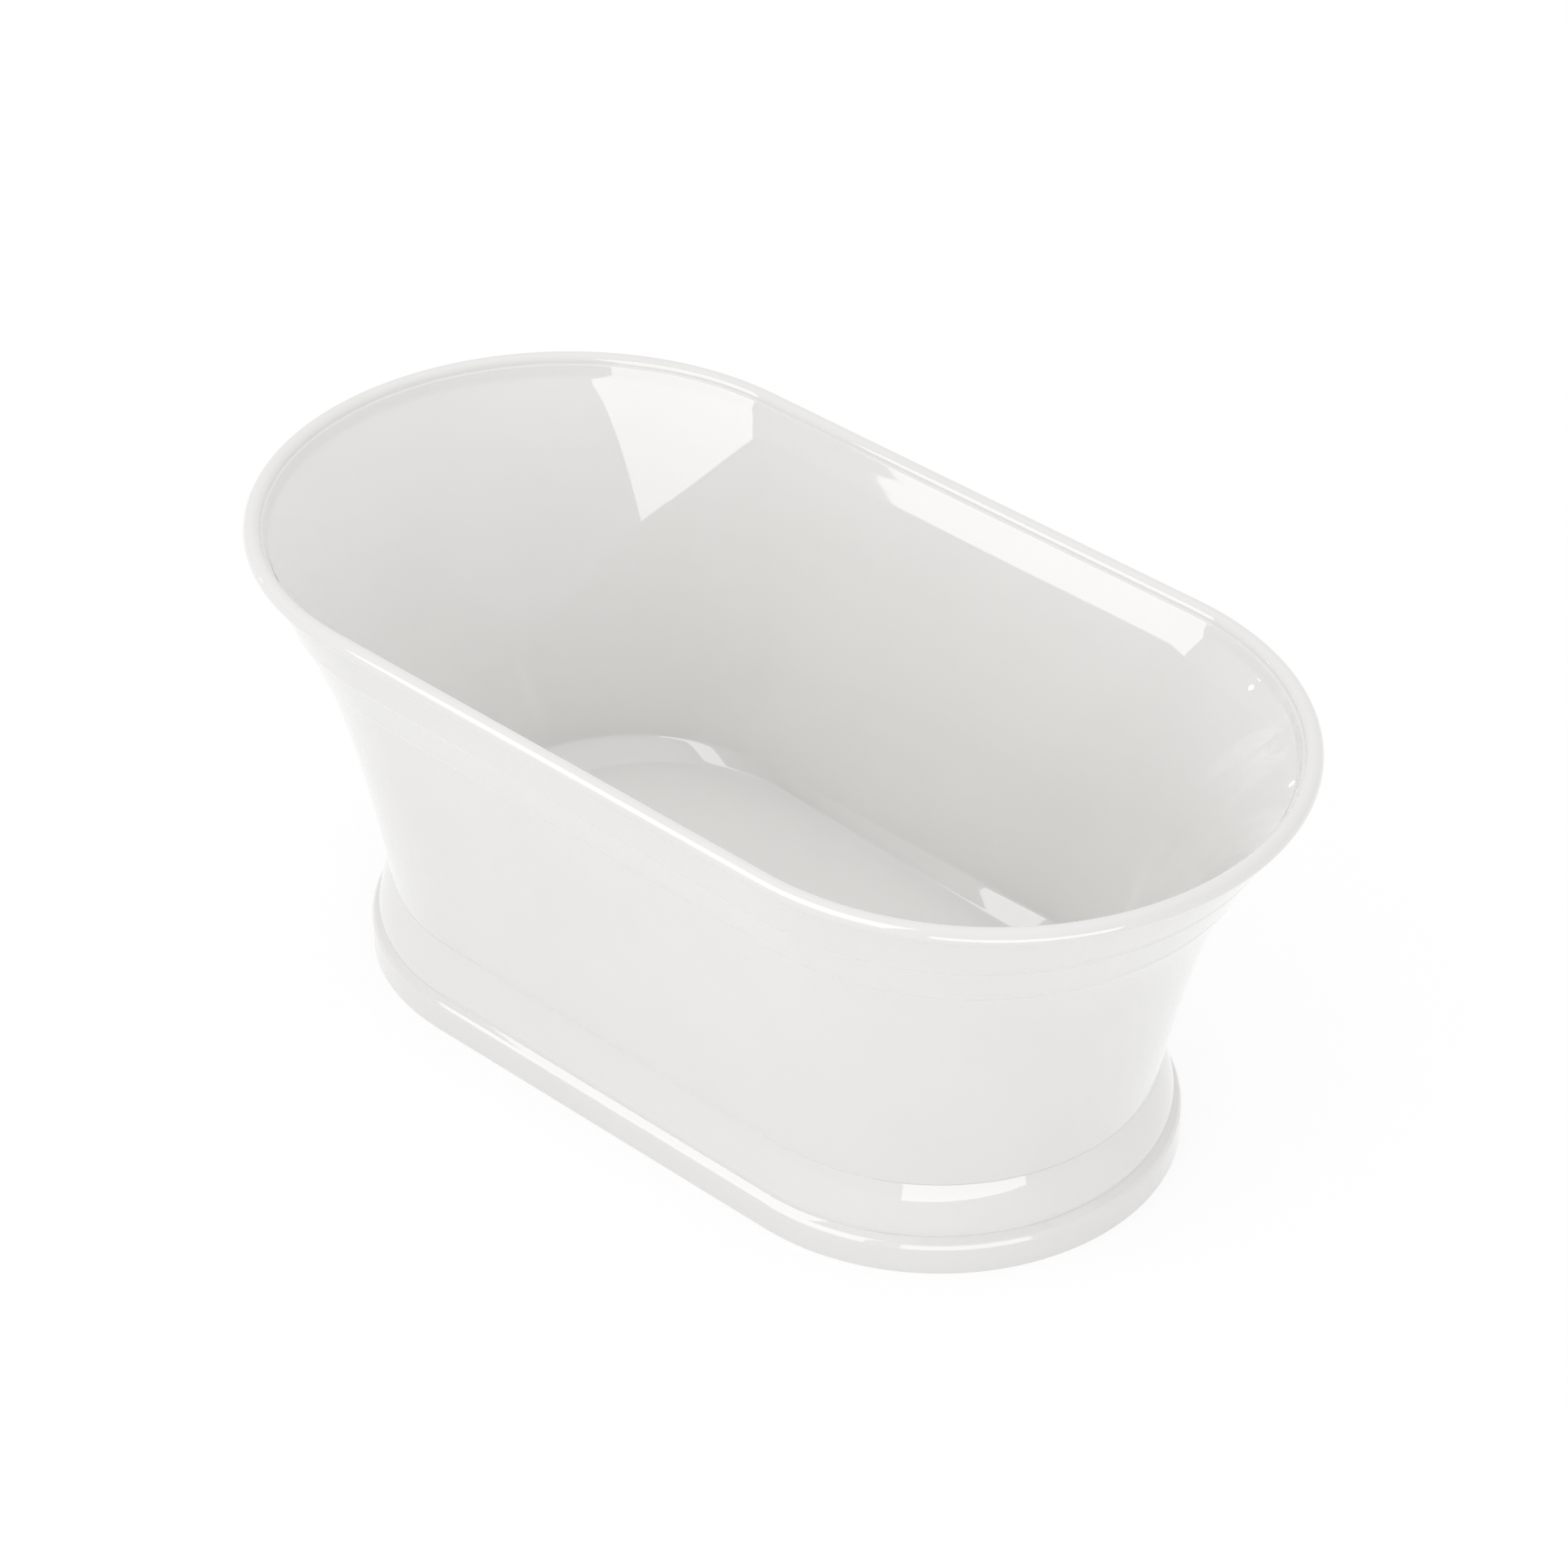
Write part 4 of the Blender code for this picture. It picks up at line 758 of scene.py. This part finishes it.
def make_outer_skin():
    top = outer_high.z
    profile = [(TOP_INSET, TOP_INSET, height) for height in (top, top - TOP_UPRIGHT)]
    profile += ledge(*STEP_1) + ledge(*STEP_2)
    profile += [body_curve((i + 1) / BODY_RINGS) for i in range(BODY_RINGS)]
    ledge_radii = [LEDGE_SOFT, LEDGE_SOFT, LEDGE_EDGE]
    radii = dict(enumerate([TOP_SOFT, *ledge_radii, *ledge_radii], 1))
    rings = [level(*point) for point in rounded(profile, radii, 4)]
    fit("outer_skin", skin(rings, outwards=True), "white_acrylic", "bath", "outer_shell")


def make_plinth():
    profile = [
        (WAIST[0] + RETURN_FLANGE, WAIST[1] + RETURN_FLANGE, WAIST_HEIGHT),
        (*WAIST, WAIST_HEIGHT),
    ]
    for share, drop in ((0.45, 0.35), (0.8, 0.7)):
        height = mix(WAIST_HEIGHT, TIER_HEIGHT + TIER_ROUND, drop)
        profile.append((*blend_points(WAIST, TIER, share), height))
    for insets, inwards, height in (
        (TIER, 0.0, TIER_HEIGHT + TIER_ROUND),
        (TIER, TIER_DRAFT, TIER_HEIGHT),
        (TIER, CREASE_DEPTH, TIER_HEIGHT - CREASE_DROP),
        (FOOT, FOOT_SHELF, FOOT_HEIGHT + FOOT_SHELF_RISE),
        (FOOT, FOOT_FLARE, FOOT_HEIGHT - FOOT_EDGE),
        (FOOT, 0.0, 0.0),
        (FOOT, RETURN_FLANGE, 0.0),
    ):
        profile.append((insets[0] + inwards, insets[1] + inwards, height))
    radii = [PLINTH_EDGE, PLINTH_FILLET, PLINTH_FILLET, TIER_TOP_SOFT, TIER_LOW_SOFT]
    radii += [CREASE_SOFT, SHELF_SOFT, FOOT_SOFT, PLINTH_EDGE]
    rings = [level(*point) for point in rounded(profile, dict(enumerate(radii, 1)))]
    fit("plinth_skin", skin(rings, outwards=True), "white_acrylic", "bath", "plinth")


# ---------------------------------------------------------------------------------------
# Click-clack waste
# ---------------------------------------------------------------------------------------


def make_waste_flange():
    """The dished rim, its tube, and the three-barred spider that carries the plug."""
    under, thick = FLANGE_UNDER, FLANGE_THICKNESS
    profile = [
        (TUBE_BORE, -TUBE_LENGTH),
        (TUBE_BORE, FUNNEL_LOW),
        (TUBE_BORE + FUNNEL_FLARE, FUNNEL_HIGH),
        (TUBE_RADIUS + 0.5 * MM, under + FLANGE_EDGE),
        (FLANGE_RADIUS - FLANGE_DISH, under + 2 * MM),
        (FLANGE_RADIUS - FLANGE_CREST, under + thick),
        (FLANGE_RADIUS, under + FLANGE_EDGE),
        (FLANGE_RADIUS, under),
        (TUBE_RADIUS, under),
        (TUBE_RADIUS, -TUBE_LENGTH),
    ]
    radii = {1: 3 * MM, 2: 3 * MM, 3: 1.5 * MM, 4: 4 * MM, 5: 1.6 * MM, 6: 0.6 * MM}
    tube = lathe(rounded(profile, radii), closed=True)
    span = 2 * (TUBE_BORE + WELD)
    cuts = []
    for i in range(3):
        spoke = bar(span, SPIDER_BAR, SPIDER_LOW, SPIDER_TOP)
        cuts.append(("UNION", spoke, Matrix.Rotation(math.pi * i / 3, 4, "Z")))
    cuts.append(("UNION", cylinder(HUB_RADIUS, SPIDER_LOW, SPIDER_TOP), LEVEL))
    cuts.append(("DIFFERENCE", cylinder(HUB_BORE, -THROUGH, THROUGH), LEVEL))
    fit("waste_rim", worked(tube, cuts), "chrome", "bath", "waste_flange", place=WASTE)


def make_plug_cap():
    """The domed cap that is pressed to open and close the waste."""
    top = CAP_LOW + CAP_HEIGHT
    dome = []
    for i in range(13):
        share = i / 12
        sink = 1 - math.sqrt(1 - (share * 0.93) ** 2)
        dome.append((CAP_RADIUS * share, top - sink * CAP_HEIGHT))
    profile = [
        *dome,
        (CAP_RADIUS, CAP_LOW + 0.8 * MM),
        (CAP_RADIUS - 0.8 * MM, CAP_LOW),
        (CAP_STEP, CAP_LOW),
        (CAP_STEP, CAP_SEAL_TOP + GAP),
        (CAP_BOSS, CAP_SEAL_TOP + GAP),
        (CAP_BOSS, CAP_BOSS_LOW),
        (STEM_SOCKET, CAP_BOSS_LOW),
        (STEM_SOCKET, STEM_TOP + GAP),
        (0, STEM_TOP + GAP),
    ]
    cap = lathe(rounded(profile, {12: 0.8 * MM, 13: 0.4 * MM, 14: 0.4 * MM}))
    fit("plug_dome", cap, "chrome", "plug", "plug_cap", place=WASTE)


def make_waste_body():
    """The pipe under the floor: a grip collar, the chamber, its tail, and the hose's inlet."""
    foot = BODY_TOP - BODY_LENGTH
    profile = [
        (BODY_COLLAR - 1 * MM, BODY_TOP),
        (BODY_COLLAR, BODY_TOP - 0.6 * MM),
        (BODY_COLLAR, BODY_TOP - 3 * MM),
        (BODY_RADIUS, BODY_TOP - 4 * MM),
        (BODY_RADIUS, foot + 2 * MM),
        (TAIL_RADIUS, foot),
        (TAIL_RADIUS, foot - TAIL_LENGTH + 1 * MM),
        (TAIL_RADIUS - 1 * MM, foot - TAIL_LENGTH),
        (TAIL_BORE, foot - TAIL_LENGTH),
        (TAIL_BORE, foot),
        (BODY_BORE, foot + BODY_BORE - TAIL_BORE),
        (BODY_BORE, BODY_TOP),
    ]
    grips = {"lobes": 16, "lobe_depth": 1.6 * MM, "lobed": (1, 2)}
    body = lathe(profile, 128, closed=True, **grips)
    inlet = Matrix.Translation((0, 0, -INLET_DROP)) @ Matrix.Rotation(math.pi / 2, 4, "Y")
    cuts = [
        ("UNION", cylinder(SPIGOT_RADIUS, BODY_BORE + WELD, INLET_REACH), inlet),
        ("DIFFERENCE", cylinder(SPIGOT_BORE, 0, INLET_REACH + THROUGH), inlet),
    ]
    fit("waste_pipe", worked(body, cuts), "white_plastic", "bath", "waste_body", place=WASTE)


# ---------------------------------------------------------------------------------------
# Overflow
# ---------------------------------------------------------------------------------------


def make_overflow_cover():
    """The domed cover on the end wall, with six drain holes round its screw."""
    low, high = COVER_LOW, COVER_HEIGHT
    profile = [
        (0, low + high),
        (COVER_RADIUS * 0.55, low + high * 0.95),
        (COVER_RADIUS * 0.88, low + high * 0.68),
        (COVER_RADIUS, low + high * 0.25),
        (COVER_RADIUS, low),
        (COVER_RADIUS - COVER_WALL, low),
        (COVER_RADIUS * 0.86, low + high * 0.68 - COVER_WALL),
        (COVER_RADIUS * 0.50, low + high * 0.95 - COVER_WALL),
        (0, low + high - COVER_WALL),
    ]
    radii = {1: 9 * MM, 2: 4 * MM, 3: 2 * MM, 4: 0.5 * MM, 6: 3 * MM, 7: 8 * MM}
    dome = lathe(rounded(profile, radii))
    cuts = []
    for i in range(COVER_HOLES):
        spot = Matrix.Rotation(math.tau * i / COVER_HOLES, 4, "Z")
        spot = spot @ Matrix.Translation((COVER_HOLE_CIRCLE, 0, 0))
        cuts.append(("DIFFERENCE", cylinder(COVER_HOLE, 0, THROUGH), spot))
    cuts.append(("DIFFERENCE", cylinder(SCREW_SHANK + GAP, 0, THROUGH), LEVEL))
    fit("overflow_dome", worked(dome, cuts), "chrome", "bath", "overflow_cover", place=OVERFLOW)


def cross_recess(width, reach, low, high):
    """The cuts of a cross-head recess."""
    slot = bar(reach, width, low, high)
    return [("DIFFERENCE", slot, Matrix.Rotation(turn, 4, "Z")) for turn in (0.0, math.pi / 2)]


def make_overflow_screw():
    seat = COVER_LOW + COVER_HEIGHT + GAP
    top = seat + SCREW_HEAD_HEIGHT
    profile = [
        (0, top),
        (SCREW_HEAD * 0.7, top - 0.2 * MM),
        (SCREW_HEAD, seat + 0.8 * MM),
        (SCREW_HEAD, seat),
        (SCREW_SHANK, seat),
        (SCREW_SHANK, SCREW_REACH),
        (0, SCREW_REACH),
    ]
    screw = lathe(rounded(profile, {1: 1.2 * MM, 2: 0.5 * MM, 3: 0.2 * MM}), 64)
    cuts = cross_recess(0.9 * MM, 4.6 * MM, top - 1.3 * MM, top + 1 * MM)
    screw = worked(screw, cuts)
    fit("overflow_screw_head", screw, "chrome", "bath", "overflow_screw", place=OVERFLOW)


def hollow_middle(height):
    """The X midway between the two skins at the front end."""
    inner = LENGTH / 2 - at_height(wall_curve, height)[1] + SKIN
    outer = LENGTH / 2 - at_height(body_curve, height)[1] - SKIN
    return (inner + outer) / 2


def towards(start, end):
    """A frame at start, its Z axis pointing at end."""
    turn = (end - start).to_track_quat("Z", "Y").to_matrix().to_4x4()
    return Matrix.Translation(start) @ turn


def spigot_place():
    """The elbow's outlet: from the middle of its body down into the hollow between the skins."""
    centre = OVERFLOW @ Vector((0, 0, ELBOW_TOP - ELBOW_DEPTH / 2))
    height = centre.z - SPIGOT_FALL
    return towards(centre, Vector((hollow_middle(height), 0, height)))


def make_elbow():
    """The moulded elbow behind the wall, with the boss for the cover's screw."""
    top, back = ELBOW_TOP, ELBOW_TOP - ELBOW_DEPTH
    mouth = ELBOW_RADIUS - ELBOW_WALL
    neck = top - ELBOW_LIP
    drill = SCREW_SHANK + GAP
    profile = [
        (0, SCREW_REACH - GAP),
        (drill, SCREW_REACH - GAP),
        (drill, 0),
        (ELBOW_BOSS, 0),
        (ELBOW_BOSS, back + ELBOW_WALL),
        (mouth - ELBOW_CHAMFER, back + ELBOW_WALL),
        (mouth, back + ELBOW_WALL + ELBOW_CHAMFER),
        (mouth, top),
        (ELBOW_FLANGE, top),
        (ELBOW_FLANGE, neck),
        (ELBOW_RADIUS, neck - 0.5 * MM),
        (ELBOW_RADIUS, back + ELBOW_CHAMFER),
        (ELBOW_RADIUS - ELBOW_CHAMFER, back),
        (0, back),
    ]
    radii = {9: 0.6 * MM, 11: 3 * MM, 12: 3 * MM}
    spigot = OVERFLOW.inverted() @ spigot_place()
    cuts = [
        ("UNION", cylinder(SPIGOT_RADIUS, mouth - WELD, SPIGOT_REACH), spigot),
        ("DIFFERENCE", cylinder(SPIGOT_BORE, ELBOW_BOSS + 2 * MM, SPIGOT_REACH + THROUGH), spigot),
    ]
    elbow = worked(lathe(rounded(profile, radii)), cuts)
    fit("overflow_housing", elbow, "white_plastic", "bath", "overflow_elbow", place=OVERFLOW)


def inlet_end():
    return WASTE @ Vector((INLET_REACH, 0, -INLET_DROP))


def hose_route():
    """Points from the elbow's outlet, down between the skins, to the waste body's inlet."""
    outlet = spigot_place()
    first = outlet @ Vector((0, 0, SPIGOT_REACH + HOSE_GAP))
    second = outlet @ Vector((0, 0, SPIGOT_REACH + HOSE_LEAD))
    last = inlet_end() + Vector((HOSE_GAP, 0, 0))
    before_last = last + Vector((HOSE_TAIL, 0, 0))
    lowest = BASIN_HEIGHT + HOSE_TURN_RISE
    points = [first, second]
    for share in (0.25, 0.5, 0.75, 1.0):
        height = mix(second.z, lowest, share)
        points.append(Vector((hollow_middle(height), 0, height)))
    waist = hollow_middle(WAIST_HEIGHT + HOSE_LEAD)
    sag = waist - HOSE_SAG
    points.append(Vector((waist - HOSE_TURN_IN, 0, lowest - HOSE_TURN_FALL)))
    points.append(Vector((sag, 0, last.z + HOSE_SAG_RISE)))
    points.append(Vector((mix(before_last.x, sag, 0.5), 0, last.z + HOSE_ARRIVAL_RISE)))
    return [*points, before_last, last]


def along(points, spacing):
    """Points evenly spaced in length along a smooth curve through the route."""
    padded = [2 * points[0] - points[1], *points, 2 * points[-1] - points[-2]]
    curve = []
    for a, b, c, d in zip(padded, padded[1:], padded[2:], padded[3:]):
        for i in range(40):
            t = i / 40
            bend = (2 * a - 5 * b + 4 * c - d) * t + (3 * b - a - 3 * c + d) * t * t
            curve.append(b + (c - a + bend) * t / 2)
    curve.append(points[-1])
    lengths = [0.0]
    for a, b in zip(curve, curve[1:]):
        lengths.append(lengths[-1] + (b - a).length)
    count = round(lengths[-1] / spacing)
    even, k = [], 0
    for i in range(count + 1):
        goal = lengths[-1] * i / count
        while k < len(lengths) - 2 and lengths[k + 1] < goal:
            k += 1
        share = (goal - lengths[k]) / (lengths[k + 1] - lengths[k])
        even.append(curve[k].lerp(curve[k + 1], share))
    return even


def make_hose():
    """A ridged hose: its outside rises and falls once in every pitch, its bore is smooth."""
    path = along(hose_route(), HOSE_PITCH / HOSE_ROWS)
    steps = 32
    points, faces = [], []
    for i, centre in enumerate(path):
        ahead = (path[min(i + 1, len(path) - 1)] - path[max(i - 1, 0)]).normalized()
        side = Vector((0, 1, 0))
        up = ahead.cross(side)
        plain = min(i, len(path) - 1 - i) < HOSE_PLAIN_ROWS
        ridge = 0.0 if plain else HOSE_RIDGE * (0.5 - 0.5 * math.cos(math.tau * i / HOSE_ROWS))
        for radius in (HOSE_RADIUS - ridge, HOSE_RADIUS - HOSE_WALL):
            for k in range(steps):
                turn = math.tau * k / steps
                points.append(centre + radius * (math.cos(turn) * side + math.sin(turn) * up))
    ring = 2 * steps
    for i in range(len(path) - 1):
        for k in range(steps):
            a, b = i * ring + k, i * ring + (k + 1) % steps
            faces.append((a, a + ring, b + ring, b))
            faces.append((b + steps, b + steps + ring, a + steps + ring, a + steps))
    for start, flip in ((0, False), ((len(path) - 1) * ring, True)):
        for k in range(steps):
            a, b = start + k, start + (k + 1) % steps
            face = (a, b, b + steps, a + steps)
            faces.append(tuple(reversed(face)) if flip else face)
    mesh = bpy.data.meshes.new("hose")
    mesh.from_pydata(points, [], faces)
    fixed = bmesh.new()
    fixed.from_mesh(mesh)
    bmesh.ops.recalc_face_normals(fixed, faces=fixed.faces)
    fixed.to_mesh(mesh)
    fixed.free()
    fit("ridged_hose", smooth(mesh, 60), "white_plastic", "bath", "overflow_hose")


def make_hose_nuts():
    """The two grip nuts that hold the hose to its spigots."""
    bore = SPIGOT_RADIUS + GAP
    profile = [
        (HOSE_NUT - 1 * MM, HOSE_NUT_TOP),
        (HOSE_NUT, HOSE_NUT_TOP - 1 * MM),
        (HOSE_NUT, 1 * MM - HOSE_NUT_REACH),
        (HOSE_NUT - 1 * MM, -HOSE_NUT_REACH),
        (bore, -HOSE_NUT_REACH),
        (bore, GAP),
        (HOSE_RADIUS + GAP, GAP),
        (HOSE_RADIUS + GAP, HOSE_NUT_TOP),
    ]
    top_place = spigot_place() @ Matrix.Translation((0, 0, SPIGOT_REACH))
    end = inlet_end()
    low_place = towards(end, end + Vector((1, 0, 0)))
    for name, node, place in (
        ("hose_grip_top", "hose_nut_top", top_place),
        ("hose_grip_bottom", "hose_nut_bottom", low_place),
    ):
        nut = lathe(profile, closed=True, lobes=12, lobe_depth=0.8 * MM, lobed=(1, 2))
        fit(name, nut, "white_plastic", "bath", node, place=place)


# ---------------------------------------------------------------------------------------
# Levelling feet and screws
# ---------------------------------------------------------------------------------------


def threaded_rod(radius, low, high, pitch, depth, steps=24):
    """A rod with a helical thread and chamfered ends."""
    count = round((high - low) / pitch * THREAD_ROWS)
    points, faces = [], []
    for row in range(count + 1):
        height = mix(low, high, row / count)
        taper = depth * max(0.0, 1 - min(height - low, high - height) / depth)
        for i in range(steps):
            phase = (height / pitch - i / steps) % 1.0
            reach = radius - max(depth * abs(2 * phase - 1), taper)
            turn = math.tau * i / steps
            points.append((reach * math.cos(turn), reach * math.sin(turn), height))
    for row in range(count):
        for i in range(steps):
            a, b = row * steps + i, row * steps + (i + 1) % steps
            faces.append((a, b, b + steps, a + steps))
    faces.append(tuple(reversed(range(steps))))
    faces.append(tuple(range(count * steps, (count + 1) * steps)))
    mesh = bpy.data.meshes.new("thread")
    mesh.from_pydata(points, [], faces)
    return smooth(mesh, 50)


def chamfered_nut():
    """A hexagon nut, its corners chamfered on both faces and its bore countersunk."""
    half, corner = NUT_HEIGHT / 2, NUT_FLATS / math.cos(math.pi / 6)
    face, shoulder = NUT_FLATS * NUT_FACE, half - NUT_BEVEL
    hexagon = lathe([(0, half), (corner, half), (corner, -half), (0, -half)], 6)
    outline = [(0, half), (face, half), (corner, shoulder)]
    outline += [(corner, -shoulder), (face, -half), (0, -half)]
    turned = lathe(outline)
    sink, deep = STUD_BORE + NUT_SINK, half - NUT_SINK
    edge = [(sink, half + GAP), (sink, half), (STUD_BORE, deep), (STUD_BORE, -deep)]
    edge += [(sink, -half), (sink, -half - GAP)]
    bore = lathe([(0, half + GAP), *edge, (0, -half - GAP)], 48)
    return worked(hexagon, [("INTERSECT", turned, LEVEL), ("DIFFERENCE", bore, LEVEL)])


def foot_pad():
    """A swivel pad: a flat sole, a sloping skirt and the neck that holds the stud."""
    wide = STUD_BORE + PAD_SKIRT
    profile = [
        (0, PAD_SOLE - GAP),
        (STUD_BORE, PAD_SOLE - GAP),
        (STUD_BORE, PAD_HEIGHT),
        (STUD_BORE + PAD_NECK_TOP, PAD_HEIGHT),
        (STUD_BORE + PAD_NECK_LOW, PAD_SHOULDER),
        (wide, PAD_SOLE),
        (wide, 1 * MM),
        (wide - 1 * MM, 0),
        (0, 0),
    ]
    radii = {3: 0.8 * MM, 4: 1.5 * MM, 5: 1 * MM, 6: 0.6 * MM, 7: 0.4 * MM}
    return lathe(rounded(profile, radii), 64)


def board_screw():
    """A pan-head screw, point upwards, with a cross recess in its head."""
    head, rise = BOARD_SCREW_HEAD, BOARD_SCREW_RISE
    profile = [
        (0, BOARD_SCREW_LENGTH),
        (BOARD_SCREW, BOARD_SCREW_LENGTH - BOARD_SCREW_TIP),
        (BOARD_SCREW, 0),
        (head, 0),
        (head, -rise * 0.6),
        (head * 0.7, -rise),
        (0, -rise),
    ]
    screw = lathe(rounded(profile, {3: 0.3 * MM, 4: 0.8 * MM, 5: 1.2 * MM}), 48)
    return worked(screw, cross_recess(0.8 * MM, 4.4 * MM, -rise - 1 * MM, -rise + 1.4 * MM))


def centre_of(node):
    low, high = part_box(node)
    return (low + high) / 2


def make_feet():
    pad, nut = foot_pad(), chamfered_nut()
    low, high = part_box("foot_stud_1")
    stud = threaded_rod(STUD_RADIUS, low.z, high.z, STUD_PITCH, THREAD_DEPTH)
    for i in range(1, 6):
        middle = centre_of(f"foot_stud_{i}")
        upright = Matrix.Translation((middle.x, middle.y, 0))
        for name, node, mesh, finish in (
            (f"foot_swivel_pad_{i}", f"foot_pad_{i}", pad, "black_plastic"),
            (f"foot_thread_{i}", f"foot_stud_{i}", stud, "zinc_steel"),
        ):
            fit(name, mesh.copy(), finish, f"foot_{i}", node, place=upright)
        for side in ("upper", "lower"):
            node = f"foot_nut_{side}_{i}"
            place = Matrix.Translation(centre_of(node))
            fit(f"foot_lock_{side}_{i}", nut.copy(), "zinc_steel", "bath", node, place=place)


def make_board_screws():
    screw = board_screw()
    for i in range(1, 13):
        node = f"frame_screw_{i:02d}"
        middle, low = centre_of(node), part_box(node)[0]
        place = Matrix.Translation((middle.x, middle.y, low.z + BOARD_SCREW_RISE))
        fit(f"board_screw_{i:02d}", screw.copy(), "zinc_steel", "bath", node, place=place)


make_basin()
make_outer_skin()
make_plinth()
make_waste_flange()
make_plug_cap()
make_waste_body()
make_overflow_cover()
make_overflow_screw()
make_elbow()
make_hose()
make_hose_nuts()
make_feet()
make_board_screws()

# ---------------------------------------------------------------------------------------
# Studio: a white floor, a pale dome, soft screens, a faint lamp and the camera
# ---------------------------------------------------------------------------------------

FLOOR_SIZE, FLOOR_BELOW = 30, 0.4 * MM
LENS, SENSOR, FARTHEST = 117.5, 36, 100
CAMERA_TURN, CAMERA_RISE, CAMERA_DISTANCE = 43.25, 35.38, 6.566
CAMERA_TARGET = Vector((-0.1148, 0.1537, 0.2267))


def make_floor():
    """A white floor that keeps the bath's soft shadow, bright to the eye and in gloss."""
    bpy.ops.mesh.primitive_plane_add(size=FLOOR_SIZE, location=(0, 0, -FLOOR_BELOW))
    floor = bpy.context.object
    floor.name = "studio_floor"
    material, tree, _ = new_material("white_studio_floor")
    path = add_node(tree, "LightPath").outputs
    seen = path["Is Camera Ray"]
    for ray in ("Is Glossy Ray", "Is Transmission Ray"):
        either = {0: seen, 1: path[ray]}
        seen = add_node(tree, "Math", links=either, operation="MAXIMUM").outputs[0]
    plain = add_node(tree, "BsdfDiffuse", {"Color": colour("#e8e8e8")})
    faint = add_node(tree, "BsdfDiffuse", {"Color": (0.25, 0.25, 0.25, 1.0)})
    glow = add_node(tree, "Emission", {"Color": (1, 1, 1, 1), "Strength": 0.78})
    white = add_node(tree, "AddShader", links={0: faint.outputs[0], 1: glow.outputs[0]})
    both = add_node(tree, "MixShader", links={0: seen, 1: plain.outputs[0], 2: white.outputs[0]})
    add_node(tree, "OutputMaterial", links={"Surface": both.outputs[0]})
    floor.data.materials.append(material)


def make_world(light, glint):
    """A pale dome: that bright to matt surfaces, and that bright where gloss shows it."""
    world = bpy.data.worlds.new("studio")
    world.use_nodes = True
    tree = world.node_tree
    tree.nodes.clear()
    mirrored = add_node(tree, "LightPath").outputs["Is Glossy Ray"]
    sky = add_node(tree, "Background", links={"Strength": between(tree, mirrored, light, glint)})
    add_node(tree, "OutputWorld", links={"Surface": sky.outputs[0]})
    bpy.context.scene.world = world


def screen(name, place, target, width, height, light, glint, corners=4):
    """A glowing screen, hidden from the camera. Its strength is light to matt surfaces and
    glint where gloss shows it, and 1 is white. Many corners make it round."""
    outline = []
    for i in range(corners):
        turn = math.tau * (i + 0.5) / corners
        outline.append((width * math.cos(turn), height * math.sin(turn), 0.0))
    reach = 2 * max(x for x, _, _ in outline) / width
    mesh = bpy.data.meshes.new(name)
    mesh.from_pydata([(x / reach, y / reach, 0.0) for x, y, _ in outline], [], [range(corners)])
    sheet = bpy.data.objects.new(name, mesh)
    bpy.context.scene.collection.objects.link(sheet)
    sheet.location = place
    sheet.rotation_euler = (Vector(target) - Vector(place)).to_track_quat("Z", "Y").to_euler()
    sheet.visible_camera = False
    sheet.visible_shadow = False
    material, tree, _ = new_material(name)
    mirrored = add_node(tree, "LightPath").outputs["Is Glossy Ray"]
    glow = add_node(tree, "Emission", links={"Strength": between(tree, mirrored, light, glint)})
    clear = add_node(tree, "BsdfTransparent")
    both = add_node(tree, "AddShader", links={0: glow.outputs[0], 1: clear.outputs[0]})
    add_node(tree, "OutputMaterial", links={"Surface": both.outputs[0]})
    mesh.materials.append(material)


def overhead_lamp(place, size, radiance):
    """A faint square lamp high over the bath."""
    data = bpy.data.lights.new("overhead", "AREA")
    data.size = size
    data.energy = radiance * math.pi * size * size
    lamp = bpy.data.objects.new("overhead", data)
    lamp.location = place
    bpy.context.scene.collection.objects.link(lamp)


def make_camera():
    data = bpy.data.cameras.new("camera")
    data.lens = LENS
    data.sensor_width = SENSOR
    data.clip_end = FARTHEST
    camera = bpy.data.objects.new("camera", data)
    bpy.context.scene.collection.objects.link(camera)
    turn, rise = math.radians(CAMERA_TURN), math.radians(CAMERA_RISE)
    flat = math.cos(rise)
    away = Vector((math.sin(turn) * flat, -math.cos(turn) * flat, math.sin(rise)))
    camera.location = CAMERA_TARGET + away * CAMERA_DISTANCE
    camera.rotation_euler = (-away).to_track_quat("-Z", "Y").to_euler()
    bpy.context.scene.camera = camera


make_floor()
make_world(light=1.07, glint=1.05)
overhead_lamp((0, 0, 4.5), 5.0, 0.12)
screen("front_screen", (-0.9, -3.25, 2.3), (-0.9, 0, 0.9), 4.2, 3.4, light=0.42, glint=2.0)
screen("low_screen", (1.25, -0.7, 0.3), (0.5, -0.2, 0.3), 1.1, 0.5, light=0.35, glint=1.9)
screen("round_lamp", (-2.3, -0.75, 0.9), (0.5, 0.3, 0.55), 0.09, 0.09, 0.0, 6.0, corners=24)
make_camera()
bpy.context.scene.view_settings.view_transform = "Standard"
# A glint along the hollow ends of the wall bounces many times before it leaves the bath.
bpy.context.scene.cycles.glossy_bounces = 12
